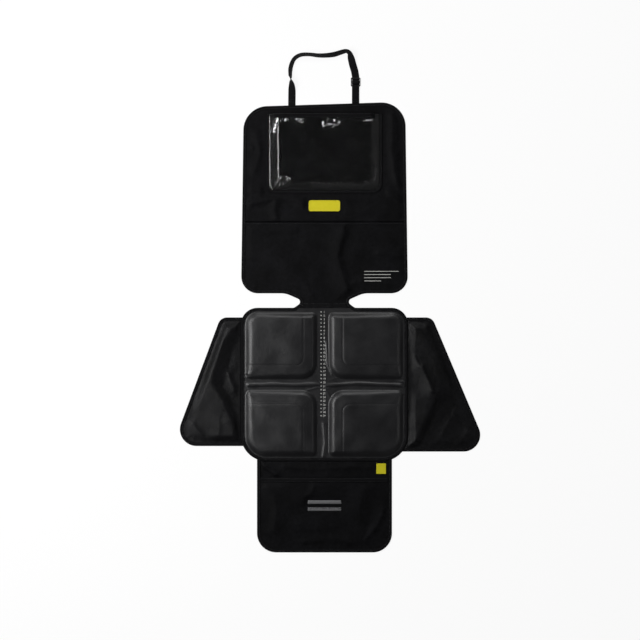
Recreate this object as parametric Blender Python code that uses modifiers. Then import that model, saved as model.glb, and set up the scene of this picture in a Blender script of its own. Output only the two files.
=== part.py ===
"""Car seat protector laid out flat, face up: a padded seat mat with side wings and a leg flap,
joined by a narrow neck to a back panel that carries a clear tablet pocket and a headrest strap.

Metres, +Z up, +Y towards the headrest strap, +X to the right of someone looking down at its face.
Y = 0 lies in the neck; at the end the whole part is shifted so that its origin is the middle of
its footprint.
"""

import math

import bmesh
import bpy
from mathutils import Matrix, Vector

# Layers and edge tape
CLEARANCE = 0.0003  # between pieces that touch on the real one
LINING_THICKNESS = 0.0010
FACE_THICKNESS = 0.0010  # woven face cloth, also wings, flap and its pocket
TAPE_THICKNESS = 0.0008
TAPE_WIDTH = 0.0090  # what shows of the folded tape on each side
TAPE_ROUNDING = 0.0008  # chamfer on the tape's outer fold

# Back panel
BACK_WIDTH = 0.450
BACK_TOP_WIDTH = 0.436
BACK_BOTTOM = 0.022
BACK_TOP = 0.532  # at its middle
BACK_TOP_SLANT = 0.014  # how much higher the right end of the top edge lies than the left
BACK_TOP_RADIUS = 0.065
BACK_BOTTOM_RADIUS = 0.045
PANEL_SEAM_Y = 0.2146  # where the organiser's cloth meets the kick panel's

# Neck and its two notches
NECK_WIDTH = 0.114  # between the notches' sharp corners
NECK_Y = 0.001
NOTCH_TIP_RADIUS = 0.009
NOTCH_UPPER_REACH = 0.105  # from the middle to the bend under the back panel
NOTCH_UPPER_RADIUS = 0.060
NOTCH_LOWER_REACH = 0.082
NOTCH_LOWER_RADIUS = 0.012
NECK_SEAM_Y = -0.0108
NECK_TAPE_WIDTH = 0.014

# Seat mat
SEAT_WIDTH = 0.451
SEAT_TOP = -0.017
SEAT_BOTTOM = -0.431
SEAT_TOP_RADIUS = 0.045
SEAT_BOTTOM_RADIUS = 0.070
GRIP_THICKNESS = 0.0008

# Moulded cushions of the seat mat
CUSHION_MARGIN = 0.0005  # between tape and cushion
LONG_CHANNEL_X = -0.004  # the photo shows it a little left of the mat's middle
LONG_CHANNEL_WIDTH = 0.026  # between left and right cushions
CROSS_CHANNEL_WIDTH = 0.025
CROSS_CHANNEL_Y = -0.224
CUSHION_RISE = 0.0095  # of the lower terrace over the flange
CUSHION_SLOPE = 0.013  # plan width of a cushion's side
CUSHION_INNER_RADIUS = 0.044  # beside the crossing of the channels
CUSHION_SMALL_RADIUS = 0.017
CUSHION_FOOT = 0.0008  # how far a raised form's foot is sunk in what carries it
TERRACE_WIDTH = 0.040  # lower strip along the channels
TERRACE_RISE = 0.0026
TERRACE_SLOPE = 0.003
TERRACE_MARGIN = 0.002  # between a cushion's outer shoulder and its raised field
TERRACE_RADIUS = 0.020
RIB_WIDTH = 0.015
RIB_RISE = 0.0045

# Side wings; the right one lies spread a little wider than the left
WING_TOP = -0.043
LEFT_WING_BOTTOM = -0.390
RIGHT_WING_BOTTOM = -0.405
LEFT_WING_TOP_REACH = 0.055  # from the seat's edge to the sharp outer corner
LEFT_WING_BOTTOM_REACH = 0.1845
RIGHT_WING_TOP_REACH = 0.065
RIGHT_WING_BOTTOM_REACH = 0.2175
WING_TOP_RADIUS = 0.025
WING_BOTTOM_RADIUS = 0.045
WING_ROOT_OVERLAP = 0.040  # pattern under the seat's edge, trimmed away along it

# Leg flap and its pocket
FLAP_WIDTH = 0.364
FLAP_BOTTOM = -0.677
FLAP_RADIUS = 0.052
FLAP_ROOT_OVERLAP = 0.030
FLAP_POCKET_MOUTH = -0.474
FLAP_POCKET_BULGE = 0.0072
FLAP_POCKET_HEM = 0.012
FLAP_POCKET_RELEASE = 0.110  # over which the pocket rises from the side tapes
REFLECTIVE_LENGTH = 0.090
REFLECTIVE_WIDTH = 0.0095
REFLECTIVE_PITCH = 0.019
REFLECTIVE_Y = -0.550
REFLECTIVE_THICKNESS = 0.0004

# Tablet pocket of clear film
FILM_THICKNESS = 0.0006
POCKET_WIDTH = 0.312
POCKET_TOP = 0.506
POCKET_BOTTOM = 0.292
POCKET_DEPTH = 0.015
POCKET_FLANGE = 0.008
POCKET_SLOPE = 0.012
POCKET_RADIUS = 0.026
POCKET_HEM = 0.013

# Badge patch, side tag
BADGE_WIDTH = 0.085
BADGE_HEIGHT = 0.030
BADGE_THICKNESS = 0.0014
BADGE_RADIUS = 0.006
BADGE_Y = 0.258
TAG_WIDTH = 0.026
TAG_HEIGHT = 0.028
TAG_THICKNESS = 0.0010
TAG_RADIUS = 0.003
TAG_X = 0.153
TAG_GAP = 0.006  # from the seat mat's lower edge to the tag

# Headrest strap, its slider and the loop that holds the slider
WEBBING_WIDTH = 0.020
WEBBING_THICKNESS = 0.0014
SLIDER_X = 0.084
SLIDER_Y = 0.592
SLIDER_BAR = 0.003
SLIDER_SLOT = 0.0075
SLIDER_SIDE = 0.0026
SLIDER_THICKNESS = 0.002
SLIDER_RADIUS = 0.003
SLOT_RADIUS = 0.001
LOOP_CLOSING = 0.017  # from the slider's lower bar to where the doubled loop lies closed
STRAP_ROOT = 0.520  # both ends start under the top edge and are trimmed along it

# Drawing steps
ARC_STEP = math.radians(15)
SMALLEST_RADIUS = 0.0001
CUSHION_STEPS = 6
TERRACE_STEPS = 3
FILM_STEPS = 4
CUTTER_REACH = 0.05
SHEET_GRID = 0.015
FLAP_GRID = 0.026
FADE = 0.016  # distance over which folds die out towards a sewn edge

# Heights that follow from the layers
LINING_BOTTOM = max(TAPE_THICKNESS, GRIP_THICKNESS) + CLEARANCE
FACE_BOTTOM = LINING_BOTTOM + LINING_THICKNESS + CLEARANCE
FACE_TOP = FACE_BOTTOM + FACE_THICKNESS
STACK_TOP = FACE_TOP + CLEARANCE + TAPE_THICKNESS
WING_STACK_TOP = LINING_BOTTOM + FACE_THICKNESS + CLEARANCE + TAPE_THICKNESS
SHEET_INSET = TAPE_THICKNESS + CLEARANCE  # from the outer edge to a sheet inside the tape
TAPE_INSET = TAPE_WIDTH + CLEARANCE  # from the outer edge to what lies between the tapes

# Slider sizes that follow from its bars and slots
SLIDER_HEIGHT = 3 * SLIDER_BAR + 2 * SLIDER_SLOT
BAR_STEP = SLIDER_BAR + SLIDER_SLOT
LOWER_BAR_Y = SLIDER_Y - BAR_STEP
WRAP_RADIUS = math.hypot(SLIDER_BAR, SLIDER_THICKNESS) / 2 + CLEARANCE
SLIDER_BOTTOM = WEBBING_THICKNESS + WRAP_RADIUS - SLIDER_THICKNESS / 2
SLIDER_TOP = SLIDER_BOTTOM + SLIDER_THICKNESS

# Folds pressed into the cloth: start, end, height, half width
ORGANISER_FOLDS = (
    ((-0.215, 0.296), (-0.150, 0.297), 0.0030, 0.012),
    ((-0.215, 0.258), (-0.118, 0.279), 0.0050, 0.014),
    ((-0.118, 0.279), (-0.062, 0.262), 0.0040, 0.012),
    ((-0.129, 0.262), (-0.127, 0.232), 0.0035, 0.012),
    ((0.152, 0.290), (0.206, 0.268), 0.0050, 0.014),
    ((0.190, 0.480), (0.188, 0.330), 0.0040, 0.013),
)
KICK_PANEL_FOLDS = (
    ((0.050, 0.180), (0.036, 0.120), 0.0040, 0.015),
    ((0.036, 0.120), (0.062, 0.045), 0.0045, 0.015),
    ((0.150, 0.126), (0.205, 0.125), 0.0025, 0.013),
)
LEFT_WING_FOLDS = (
    ((-0.246, -0.060), (-0.296, -0.174), 0.0090, 0.024),
    ((-0.296, -0.174), (-0.279, -0.252), 0.0085, 0.024),
    ((-0.279, -0.252), (-0.240, -0.370), 0.0090, 0.024),
)
RIGHT_WING_FOLDS = (
    ((0.246, -0.075), (0.306, -0.215), 0.0105, 0.026),
    ((0.306, -0.215), (0.252, -0.380), 0.0105, 0.026),
)

# Headrest strap's route: x, y, roll of the webbing about it in degrees, lift over the floor.
# It leaves the top edge flat, stands up on its edge, turns over and comes down flat again.
STRAP_ROUTE = (
    (-0.0880, STRAP_ROOT, 0, 0.0016),
    (-0.0880, 0.5390, 0, 0.0016),
    (-0.0878, 0.5550, 0, 0.0002),
    (-0.0878, 0.5710, 12, 0.0),
    (-0.0882, 0.5830, 48, 0.0),
    (-0.0905, 0.5950, 86, 0.0),
    (-0.0922, 0.6090, 100, 0.0),
    (-0.0918, 0.6250, 114, 0.0),
    (-0.0878, 0.6410, 108, 0.0),
    (-0.0797, 0.6550, 104, 0.0),
    (-0.0635, 0.6640, 98, 0.0),
    (-0.0400, 0.6650, 95, 0.0),
    (-0.0176, 0.6625, 97, 0.0),
    (0.0040, 0.6626, 104, 0.0),
    (0.0265, 0.6655, 118, 0.0),
    (0.0480, 0.6720, 112, 0.0),
    (0.0600, 0.6740, 100, 0.0),
    (0.0680, 0.6680, 112, 0.0),
    (0.0715, 0.6570, 150, 0.0),
    (0.0760, 0.6400, 172, 0.0),
    (0.0815, 0.6220, 180, 0.0),
)
STRAP_STEPS = 3  # sections between two points of the route
LOOP_STEPS = 6  # sections round the slider's lower bar
SLOT_PLAY = 0.0008  # of the webbing in the slider's slots


def clear_scene():
    for obj in list(bpy.data.objects):
        bpy.data.objects.remove(obj, do_unlink=True)
    for collection in list(bpy.data.collections):
        bpy.data.collections.remove(collection)


clear_scene()
PARTS = bpy.data.collections.new("car_seat_protector")
CUTTERS = bpy.data.collections.new("cutters")
for group in (PARTS, CUTTERS):
    bpy.context.scene.collection.children.link(group)


def material(name, colour, roughness, metallic=0.0, alpha=1.0):
    made = bpy.data.materials.new(name)
    made.use_nodes = True
    shader = made.node_tree.nodes["Principled BSDF"]
    shader.inputs["Base Color"].default_value = (*colour, 1.0)
    shader.inputs["Roughness"].default_value = roughness
    shader.inputs["Metallic"].default_value = metallic
    shader.inputs["Alpha"].default_value = alpha
    made.diffuse_color = (*colour, alpha)
    return made


BLACK_CLOTH = material("black_polyester_cloth", (0.012, 0.012, 0.013), 0.75)
BLACK_LINING = material("black_lining", (0.010, 0.010, 0.010), 0.85)
BLACK_TAPE = material("black_edge_tape", (0.008, 0.008, 0.009), 0.70)
MOULDED_SKIN = material("moulded_black_skin", (0.022, 0.022, 0.023), 0.42)
GRIP_RUBBER = material("dotted_grip_backing", (0.015, 0.015, 0.015), 0.80)
CLEAR_FILM = material("clear_vinyl_film", (0.60, 0.62, 0.64), 0.08, alpha=0.35)
WEBBING = material("black_webbing", (0.010, 0.010, 0.010), 0.80)
BLACK_PLASTIC = material("black_acetal", (0.012, 0.012, 0.012), 0.35)
YELLOW_RUBBER = material("yellow_rubber", (0.85, 0.78, 0.01), 0.55)
YELLOW_RIBBON = material("yellow_ribbon", (0.80, 0.72, 0.01), 0.70)
SILVER_TAPE = material("silver_reflective_tape", (0.30, 0.30, 0.31), 0.45, metallic=0.4)


def add_object(name, data, finish, collection=PARTS):
    obj = bpy.data.objects.new(name, data)
    data.materials.append(finish)
    collection.objects.link(obj)
    if collection is CUTTERS:
        obj.hide_render = True
        obj.display_type = "WIRE"
    return obj


# Outlines: lists of corners (x, y, radius), counter-clockwise, drawn as lists of points


def inset_corners(corners, distance):
    """The same outline moved inwards, with each rounding kept concentric."""
    moved = []
    for i, (x, y, radius) in enumerate(corners):
        here = Vector((x, y))
        before = (here - Vector(corners[i - 1][:2])).normalized()
        after = (Vector(corners[(i + 1) % len(corners)][:2]) - here).normalized()
        turn = before.cross(after)
        inwards = Vector((-before.y - after.y, before.x + after.x))
        inwards *= distance / (1 + before.dot(after))
        kept = max(radius - distance if turn > 0 else radius + distance, SMALLEST_RADIUS)
        moved.append((x + inwards.x, y + inwards.y, kept if radius > 0 else 0.0))
    return moved


def arc_at(before, corner, after):
    """Points of the rounding at one corner; the corner itself where it is sharp."""
    here = Vector(corner[:2])
    if corner[2] <= 0:
        return [tuple(here)]
    towards_before = (Vector(before[:2]) - here).normalized()
    towards_after = (Vector(after[:2]) - here).normalized()
    half_angle = towards_before.angle(towards_after) / 2
    middle = here + (towards_before + towards_after).normalized() * corner[2] / math.sin(half_angle)
    first = here + towards_before * corner[2] / math.tan(half_angle) - middle
    last = here + towards_after * corner[2] / math.tan(half_angle) - middle
    sweep = math.atan2(first.cross(last), first.dot(last))
    steps = max(2, round(abs(sweep) / ARC_STEP))
    return [tuple(middle + Matrix.Rotation(sweep * k / steps, 2) @ first) for k in range(steps + 1)]


def rounded(corners):
    points = []
    for i, corner in enumerate(corners):
        points += arc_at(corners[i - 1], corner, corners[(i + 1) % len(corners)])
    return points


def rounded_open(corners):
    """The same for an open line, whose two ends stay as given."""
    points = [corners[0][:2]]
    for before, corner, after in zip(corners, corners[1:], corners[2:]):
        points += arc_at(before, corner, after)
    points.append(corners[-1][:2])
    return points


def rectangle(left, right, bottom, top, radius=0.0):
    return [(left, bottom, radius), (right, bottom, radius), (right, top, radius), (left, top, radius)]


def keep_side(points, y, above):
    """The part of a closed outline on one side of a line across."""
    side = 1 if above else -1
    kept = []
    for (x0, y0), (x1, y1) in zip(points, points[1:] + points[:1]):
        start, end = side * (y0 - y), side * (y1 - y)
        if start >= 0:
            kept.append((x0, y0))
        if start * end < 0:
            kept.append((x0 + (x1 - x0) * start / (start - end), y))
    return kept


def edge_distance(x, y, points):
    """Distance from a place to the nearest side of a closed outline."""
    nearest = math.inf
    place = Vector((x, y))
    for a, b in zip(points, points[1:] + points[:1]):
        nearest = min(nearest, segment_distance(place, Vector(a), Vector(b)))
    return nearest


def segment_distance(place, start, end):
    along = end - start
    share = 0.0
    if along.length_squared > 0:
        share = max(0.0, min(1.0, (place - start).dot(along) / along.length_squared))
    return (place - start - along * share).length


def smooth(value):
    value = max(0.0, min(1.0, value))
    return value * value * (3 - 2 * value)


# Shapes


def plate(name, outlines, bottom, top, finish, collection=PARTS):
    """A flat piece: closed outlines, the first the outer one, filled and given their thickness."""
    curve = bpy.data.curves.new(name, "CURVE")
    curve.dimensions = "2D"
    curve.fill_mode = "BOTH"
    curve.extrude = (top - bottom) / 2
    for points in outlines:
        spline = curve.splines.new("POLY")
        spline.points.add(len(points) - 1)
        for point, (x, y) in zip(spline.points, points):
            point.co = (x, y, 0, 1)
        spline.use_cyclic_u = True
    obj = add_object(name, curve, finish, collection)
    obj.location.z = (bottom + top) / 2
    return obj


def as_mesh(obj, finish, collection=PARTS):
    """A curve object made a mesh object of the same name, with its caps welded on."""
    bpy.context.view_layer.update()
    mesh = bpy.data.meshes.new_from_object(obj.evaluated_get(bpy.context.evaluated_depsgraph_get()))
    name, place = obj.name, obj.matrix_world.copy()
    bpy.data.objects.remove(obj, do_unlink=True)
    bm = bmesh.new()
    bm.from_mesh(mesh)
    bmesh.ops.remove_doubles(bm, verts=bm.verts, dist=1e-6)
    bmesh.ops.recalc_face_normals(bm, faces=bm.faces)
    bm.to_mesh(mesh)
    bm.free()
    mesh.materials.clear()
    made = add_object(name, mesh, finish, collection)
    made.matrix_world = place
    return made


def cutter(name, outline):
    """A tall prism that trims or bounds sheets and tapes."""
    flat = plate(name, [outline], -CUTTER_REACH, CUTTER_REACH, BLACK_CLOTH, CUTTERS)
    return as_mesh(flat, BLACK_CLOTH, CUTTERS)


def cut(obj, operation, other):
    boolean = obj.modifiers.new(operation.lower() + "_" + other.name, "BOOLEAN")
    boolean.operation = operation
    boolean.solver = "EXACT"
    boolean.object = other


def draped_sheet(name, outline, bottom, thickness, height, grid, finish):
    """Cloth: a grid raised by its folds, given its thickness and cut to its pattern."""
    xs, ys = zip(*outline)
    left, low = (math.floor(min(side) / grid) - 1 for side in (xs, ys))
    columns = math.ceil(max(xs) / grid) + 1 - left
    rows = math.ceil(max(ys) / grid) + 1 - low
    bm = bmesh.new()
    bmesh.ops.create_grid(bm, x_segments=columns, y_segments=rows, size=0.5)
    for vert in bm.verts:
        x = (left + (vert.co.x + 0.5) * columns) * grid
        y = (low + (vert.co.y + 0.5) * rows) * grid
        vert.co = (x, y, bottom + height(x, y))
    mesh = bpy.data.meshes.new(name)
    bm.to_mesh(mesh)
    bm.free()
    obj = add_object(name, mesh, finish)
    solidify = obj.modifiers.new("thickness", "SOLIDIFY")
    solidify.thickness = thickness
    solidify.offset = 1.0
    cut(obj, "INTERSECT", cutter(name + "_pattern", outline))
    return obj


def folded(folds, outline, grid, flat_spots=()):
    """Height of a sheet's folds, which die out a grid step before its edges and what is sewn on it."""

    def height(x, y):
        place = Vector((x, y))
        raised = 0.0
        for start, end, rise, half_width in folds:
            away = segment_distance(place, Vector(start), Vector(end)) / half_width
            raised = max(raised, rise * math.exp(-away * away))
        fade = smooth((edge_distance(x, y, outline) - TAPE_WIDTH - grid) / FADE)
        for spot_left, spot_right, spot_bottom, spot_top in flat_spots:
            beside = max(spot_left - x, x - spot_right, 0.0)
            beyond = max(spot_bottom - y, y - spot_top, 0.0)
            fade = min(fade, smooth((math.hypot(beside, beyond) - grid) / FADE))
        return raised * fade

    return height


def tape_section(stack_top):
    """A tape folded round a stack of sheets: x runs inwards from the outer edge, y upwards."""
    t, r = TAPE_THICKNESS, TAPE_ROUNDING
    return [
        (r, 0.0),
        (0.0, r),
        (0.0, stack_top - r),
        (r, stack_top),
        (TAPE_WIDTH, stack_top),
        (TAPE_WIDTH, stack_top - t),
        (t, stack_top - t),
        (t, t),
        (TAPE_WIDTH, t),
        (TAPE_WIDTH, 0.0),
    ]


def swept_tape(name, path, section, finish, cyclic):
    """A section carried along a line that runs counter-clockwise round the piece it edges."""
    profile = bpy.data.curves.new(name + "_section", "CURVE")
    profile.dimensions = "2D"
    loop = profile.splines.new("POLY")
    loop.points.add(len(section) - 1)
    for point, (x, y) in zip(loop.points, section):
        point.co = (x, y, 0, 1)
    loop.use_cyclic_u = True
    section_object = add_object(name + "_section", profile, finish, CUTTERS)
    curve = bpy.data.curves.new(name, "CURVE")
    curve.dimensions = "2D"
    curve.bevel_mode = "OBJECT"
    curve.bevel_object = section_object
    curve.use_fill_caps = True
    spline = curve.splines.new("POLY")
    spline.points.add(len(path) - 1)
    for point, (x, y) in zip(spline.points, path):
        point.co = (x, y, 0, 1)
    spline.use_cyclic_u = cyclic
    return as_mesh(add_object(name, curve, finish), finish)


def bridge_rings(bm, rings, closed=True):
    """Quads between rings of as many points each; returns the rings' vertices."""
    made = [[bm.verts.new(point) for point in ring] for ring in rings]
    for lower, upper in zip(made, made[1:]):
        count = len(lower)
        for i in range(count if closed else count - 1):
            j = (i + 1) % count
            bm.faces.new((lower[i], lower[j], upper[j], upper[i]))
    return made


def mound(bm, corners, rise_profile):
    """A closed raised form: its outline drawn in by each (inset, height) of the profile in turn."""
    rings = []
    for inset, height in rise_profile:
        rings.append([(x, y, height) for x, y in rounded(inset_corners(corners, inset))])
    made = bridge_rings(bm, rings)
    bm.faces.new(reversed(made[0]))
    bm.faces.new(made[-1])


def mound_object(name, forms, finish):
    bm = bmesh.new()
    for corners, rise_profile in forms:
        mound(bm, corners, rise_profile)
    mesh = bpy.data.meshes.new(name)
    bm.to_mesh(mesh)
    bm.free()
    return add_object(name, mesh, finish, CUTTERS)


def shoulder(width, bottom, top, steps):
    """Insets and heights of a side that swells out of the flat and rounds over into the top."""
    profile = []
    for k in range(steps + 1):
        share = k / steps
        profile.append((width * share, bottom + (top - bottom) * smooth(share)))
    return profile


def ribbon(name, sections, width, thickness, finish):
    """Webbing: (middle, across, normal) of each section, joined into one strip."""
    bm = bmesh.new()
    rings = []
    for middle, across, normal in sections:
        side, half = across * width / 2, normal * thickness / 2
        lower, upper = middle - half, middle + half
        rings.append([lower - side, lower + side, upper + side, upper - side])
    made = bridge_rings(bm, rings)
    bm.faces.new(reversed(made[0]))
    bm.faces.new(made[-1])
    bmesh.ops.recalc_face_normals(bm, faces=bm.faces)
    mesh = bpy.data.meshes.new(name)
    bm.to_mesh(mesh)
    bm.free()
    return add_object(name, mesh, finish)


# Patterns shared by several pieces


def body_corners():
    """Back panel, neck and seat mat in one outline, as the edge tape runs round them."""
    seat, neck = SEAT_WIDTH / 2, NECK_WIDTH / 2
    rise = BACK_TOP_SLANT / 2
    right = [
        (seat, SEAT_BOTTOM, SEAT_BOTTOM_RADIUS),
        (seat, SEAT_TOP, SEAT_TOP_RADIUS),
        (NOTCH_LOWER_REACH, SEAT_TOP, NOTCH_LOWER_RADIUS),
        (neck, NECK_Y, NOTCH_TIP_RADIUS),
        (NOTCH_UPPER_REACH, BACK_BOTTOM, NOTCH_UPPER_RADIUS),
        (BACK_WIDTH / 2, BACK_BOTTOM, BACK_BOTTOM_RADIUS),
        (BACK_TOP_WIDTH / 2, BACK_TOP + rise, BACK_TOP_RADIUS),
    ]
    left = [(-x, y, radius) for x, y, radius in reversed(right)]
    left[0] = (-BACK_TOP_WIDTH / 2, BACK_TOP - rise, BACK_TOP_RADIUS)
    return right + left


def seat_corners():
    side = SEAT_WIDTH / 2
    return [
        (side, SEAT_BOTTOM, SEAT_BOTTOM_RADIUS),
        (side, SEAT_TOP, SEAT_TOP_RADIUS),
        (-side, SEAT_TOP, SEAT_TOP_RADIUS),
        (-side, SEAT_BOTTOM, SEAT_BOTTOM_RADIUS),
    ]


def wing_corners(side, top_reach, bottom_reach, bottom, overlap):
    """Root bottom, outer bottom, outer top, root top; turned round for the left wing."""
    edge = SEAT_WIDTH / 2
    corners = [
        (edge - overlap, bottom, 0.0),
        (edge + bottom_reach, bottom, WING_BOTTOM_RADIUS),
        (edge + top_reach, WING_TOP, WING_TOP_RADIUS),
        (edge - overlap, WING_TOP, 0.0),
    ]
    if side < 0:
        corners = [(-x, y, radius) for x, y, radius in reversed(corners)]
    return corners


def flap_corners(top):
    side = FLAP_WIDTH / 2
    return [
        (-side, top, 0.0),
        (-side, FLAP_BOTTOM, FLAP_RADIUS),
        (side, FLAP_BOTTOM, FLAP_RADIUS),
        (side, top, 0.0),
    ]


BODY = body_corners()
BODY_INSIDE = rounded(inset_corners(BODY, SHEET_INSET))
BODY_TRIM = cutter("body_trim", rounded(inset_corners(BODY, -CLEARANCE)))


# Back panel


def pocket_sides(inset):
    """Left, right and bottom of the tablet pocket, drawn in by an inset; its top stays."""
    side = POCKET_WIDTH / 2 - inset
    return [
        (-side, POCKET_TOP, 0.0),
        (-side, POCKET_BOTTOM + inset, POCKET_RADIUS - inset),
        (side, POCKET_BOTTOM + inset, POCKET_RADIUS - inset),
        (side, POCKET_TOP, 0.0),
    ]


def make_back_panel():
    plate("back_panel", [keep_side(BODY_INSIDE, NECK_SEAM_Y + CLEARANCE / 2, True)],
          LINING_BOTTOM, LINING_BOTTOM + LINING_THICKNESS, BLACK_LINING)
    upper = keep_side(BODY_INSIDE, PANEL_SEAM_Y + CLEARANCE / 2, True)
    pocket = (-POCKET_WIDTH / 2, POCKET_WIDTH / 2, POCKET_BOTTOM, POCKET_TOP)
    badge = (-BADGE_WIDTH / 2, BADGE_WIDTH / 2, BADGE_Y - BADGE_HEIGHT / 2, BADGE_Y + BADGE_HEIGHT / 2)
    draped_sheet("organiser_panel", upper, FACE_BOTTOM, FACE_THICKNESS,
                 folded(ORGANISER_FOLDS, upper, SHEET_GRID, [pocket, badge]), SHEET_GRID, BLACK_CLOTH)
    lower = keep_side(BODY_INSIDE, PANEL_SEAM_Y - CLEARANCE / 2, False)
    lower = keep_side(lower, NECK_SEAM_Y + CLEARANCE / 2, True)
    draped_sheet("kick_panel", lower, FACE_BOTTOM, FACE_THICKNESS,
                 folded(KICK_PANEL_FOLDS, lower, SHEET_GRID), SHEET_GRID, BLACK_CLOTH)


def make_badge():
    side, half = BADGE_WIDTH / 2, BADGE_HEIGHT / 2
    outline = rounded(rectangle(-side, side, BADGE_Y - half, BADGE_Y + half, BADGE_RADIUS))
    bottom = FACE_TOP + CLEARANCE
    plate("badge_patch", [outline], bottom, bottom + BADGE_THICKNESS, YELLOW_RUBBER)


def make_tablet_pocket():
    """Film formed into a shallow box that is open at the top, with its flange taped on the panel."""
    bottom = FACE_TOP + CLEARANCE
    profile = [(0.0, 0.0)] + [(POCKET_FLANGE + run, rise) for run, rise
                              in shoulder(POCKET_SLOPE, 0.0, POCKET_DEPTH, FILM_STEPS)]
    bm = bmesh.new()
    rings = []
    for inset, rise in profile:
        rings.append([(x, y, bottom + rise) for x, y in rounded_open(pocket_sides(inset))])
    made = bridge_rings(bm, rings, closed=False)
    bm.faces.new(made[-1])
    mesh = bpy.data.meshes.new("tablet_pocket_film")
    bm.to_mesh(mesh)
    bm.free()
    film = add_object("tablet_pocket_film", mesh, CLEAR_FILM)
    solidify = film.modifiers.new("thickness", "SOLIDIFY")
    solidify.thickness = FILM_THICKNESS
    solidify.offset = 1.0

    tape_bottom = bottom + FILM_THICKNESS + CLEARANCE
    tape_top = tape_bottom + TAPE_THICKNESS
    width = POCKET_FLANGE - 2 * CLEARANCE
    section = [(0.0, tape_bottom), (0.0, tape_top), (width, tape_top), (width, tape_bottom)]
    swept_tape("pocket_edge_tape", rounded_open(pocket_sides(0.0)), section, BLACK_TAPE, False)

    side = POCKET_WIDTH / 2 - POCKET_FLANGE - POCKET_SLOPE
    hem_bottom = bottom + POCKET_DEPTH + FILM_THICKNESS + CLEARANCE
    plate("pocket_mouth_hem", [rounded(rectangle(-side, side, POCKET_TOP - POCKET_HEM, POCKET_TOP))],
          hem_bottom, hem_bottom + TAPE_THICKNESS, BLACK_TAPE)


# Edge tape and neck


def make_edge_binding():
    swept_tape("edge_binding", rounded(BODY), tape_section(STACK_TOP), BLACK_TAPE, True)


def make_neck_tape():
    between = rounded(inset_corners(BODY, TAPE_INSET))
    strip = keep_side(between, NECK_SEAM_Y - NECK_TAPE_WIDTH / 2, True)
    strip = keep_side(strip, NECK_SEAM_Y + NECK_TAPE_WIDTH / 2, False)
    plate("neck_seam_tape", [strip], FACE_TOP + CLEARANCE, STACK_TOP, BLACK_TAPE)


# Seat mat


def cushion_corners(side, upper):
    """One cushion's foot, with its widest rounding beside the crossing of the channels."""
    edge = TAPE_INSET + CUSHION_MARGIN
    inner, outer = LONG_CHANNEL_X + side * LONG_CHANNEL_WIDTH / 2, side * (SEAT_WIDTH / 2 - edge)
    if upper:
        near, far = CROSS_CHANNEL_Y + CROSS_CHANNEL_WIDTH / 2, SEAT_TOP - edge
        outer_radius = SEAT_TOP_RADIUS - edge
    else:
        near, far = CROSS_CHANNEL_Y - CROSS_CHANNEL_WIDTH / 2, SEAT_BOTTOM + edge
        outer_radius = SEAT_BOTTOM_RADIUS - edge
    corners = [
        (inner, near, CUSHION_INNER_RADIUS),
        (outer, near, CUSHION_SMALL_RADIUS),
        (outer, far, outer_radius),
        (inner, far, CUSHION_SMALL_RADIUS),
    ]
    return corners if (side > 0) == upper else corners[::-1]


def raised_field_corners(side, upper):
    """The part of a cushion's top beyond the lower terrace that follows the channels."""
    outside = CUSHION_SLOPE + TERRACE_MARGIN
    field = []
    for x, y, radius in cushion_corners(side, upper):
        by_long_channel = abs(x) < SEAT_WIDTH / 4
        by_cross_channel = abs(y - CROSS_CHANNEL_Y) < CROSS_CHANNEL_WIDTH
        x -= side * (-TERRACE_WIDTH if by_long_channel else outside)
        y -= (1 if upper else -1) * (-TERRACE_WIDTH if by_cross_channel else outside)
        inner = by_long_channel and by_cross_channel
        field.append((x, y, TERRACE_RADIUS if inner else max(radius - outside, TERRACE_SLOPE * 2)))
    return field


def rib_profile():
    """Half an ellipse, as insets from the rib's foot and heights."""
    foot = FACE_TOP - CUSHION_FOOT
    rise = RIB_RISE + CUSHION_FOOT
    shares = (0.0, 0.12, 0.35, 0.65, 0.95)
    return [(RIB_WIDTH / 2 * share, foot + rise * math.sqrt(1 - (1 - share) ** 2)) for share in shares]


def make_seat_pad():
    """One moulding: four stepped cushions and the rib of the cross channel, raised from a flange."""
    flange = plate("seat_pad", [keep_side(BODY_INSIDE, NECK_SEAM_Y - CLEARANCE / 2, False)],
                   LINING_BOTTOM, FACE_TOP, MOULDED_SKIN)
    pad = as_mesh(flange, MOULDED_SKIN)
    terrace = FACE_TOP + CUSHION_RISE
    cushion_side = shoulder(CUSHION_SLOPE, FACE_TOP - CUSHION_FOOT, terrace, CUSHION_STEPS)
    field_side = shoulder(TERRACE_SLOPE, terrace - CUSHION_FOOT, terrace + TERRACE_RISE, TERRACE_STEPS)
    quarters = [(side, upper) for side in (-1, 1) for upper in (True, False)]
    cushion_forms = [(cushion_corners(*quarter), cushion_side) for quarter in quarters]
    field_forms = [(raised_field_corners(*quarter), field_side) for quarter in quarters]
    cushions = mound_object("cushion_forms", cushion_forms, MOULDED_SKIN)
    fields = mound_object("field_forms", field_forms, MOULDED_SKIN)
    reach = SEAT_WIDTH / 2 - TAPE_INSET - CUSHION_MARGIN
    half = RIB_WIDTH / 2
    round_end = half - SMALLEST_RADIUS
    rib_foot = rectangle(-reach, reach, CROSS_CHANNEL_Y - half, CROSS_CHANNEL_Y + half, round_end)
    rib = mound_object("rib_form", [(rib_foot, rib_profile())], MOULDED_SKIN)
    for form in (cushions, fields, rib):
        cut(pad, "UNION", form)


def make_grip_backing():
    outline = rounded(inset_corners(seat_corners(), TAPE_INSET))
    plate("grip_backing", [outline], 0.0, GRIP_THICKNESS, GRIP_RUBBER)


# Wings and leg flap


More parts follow.
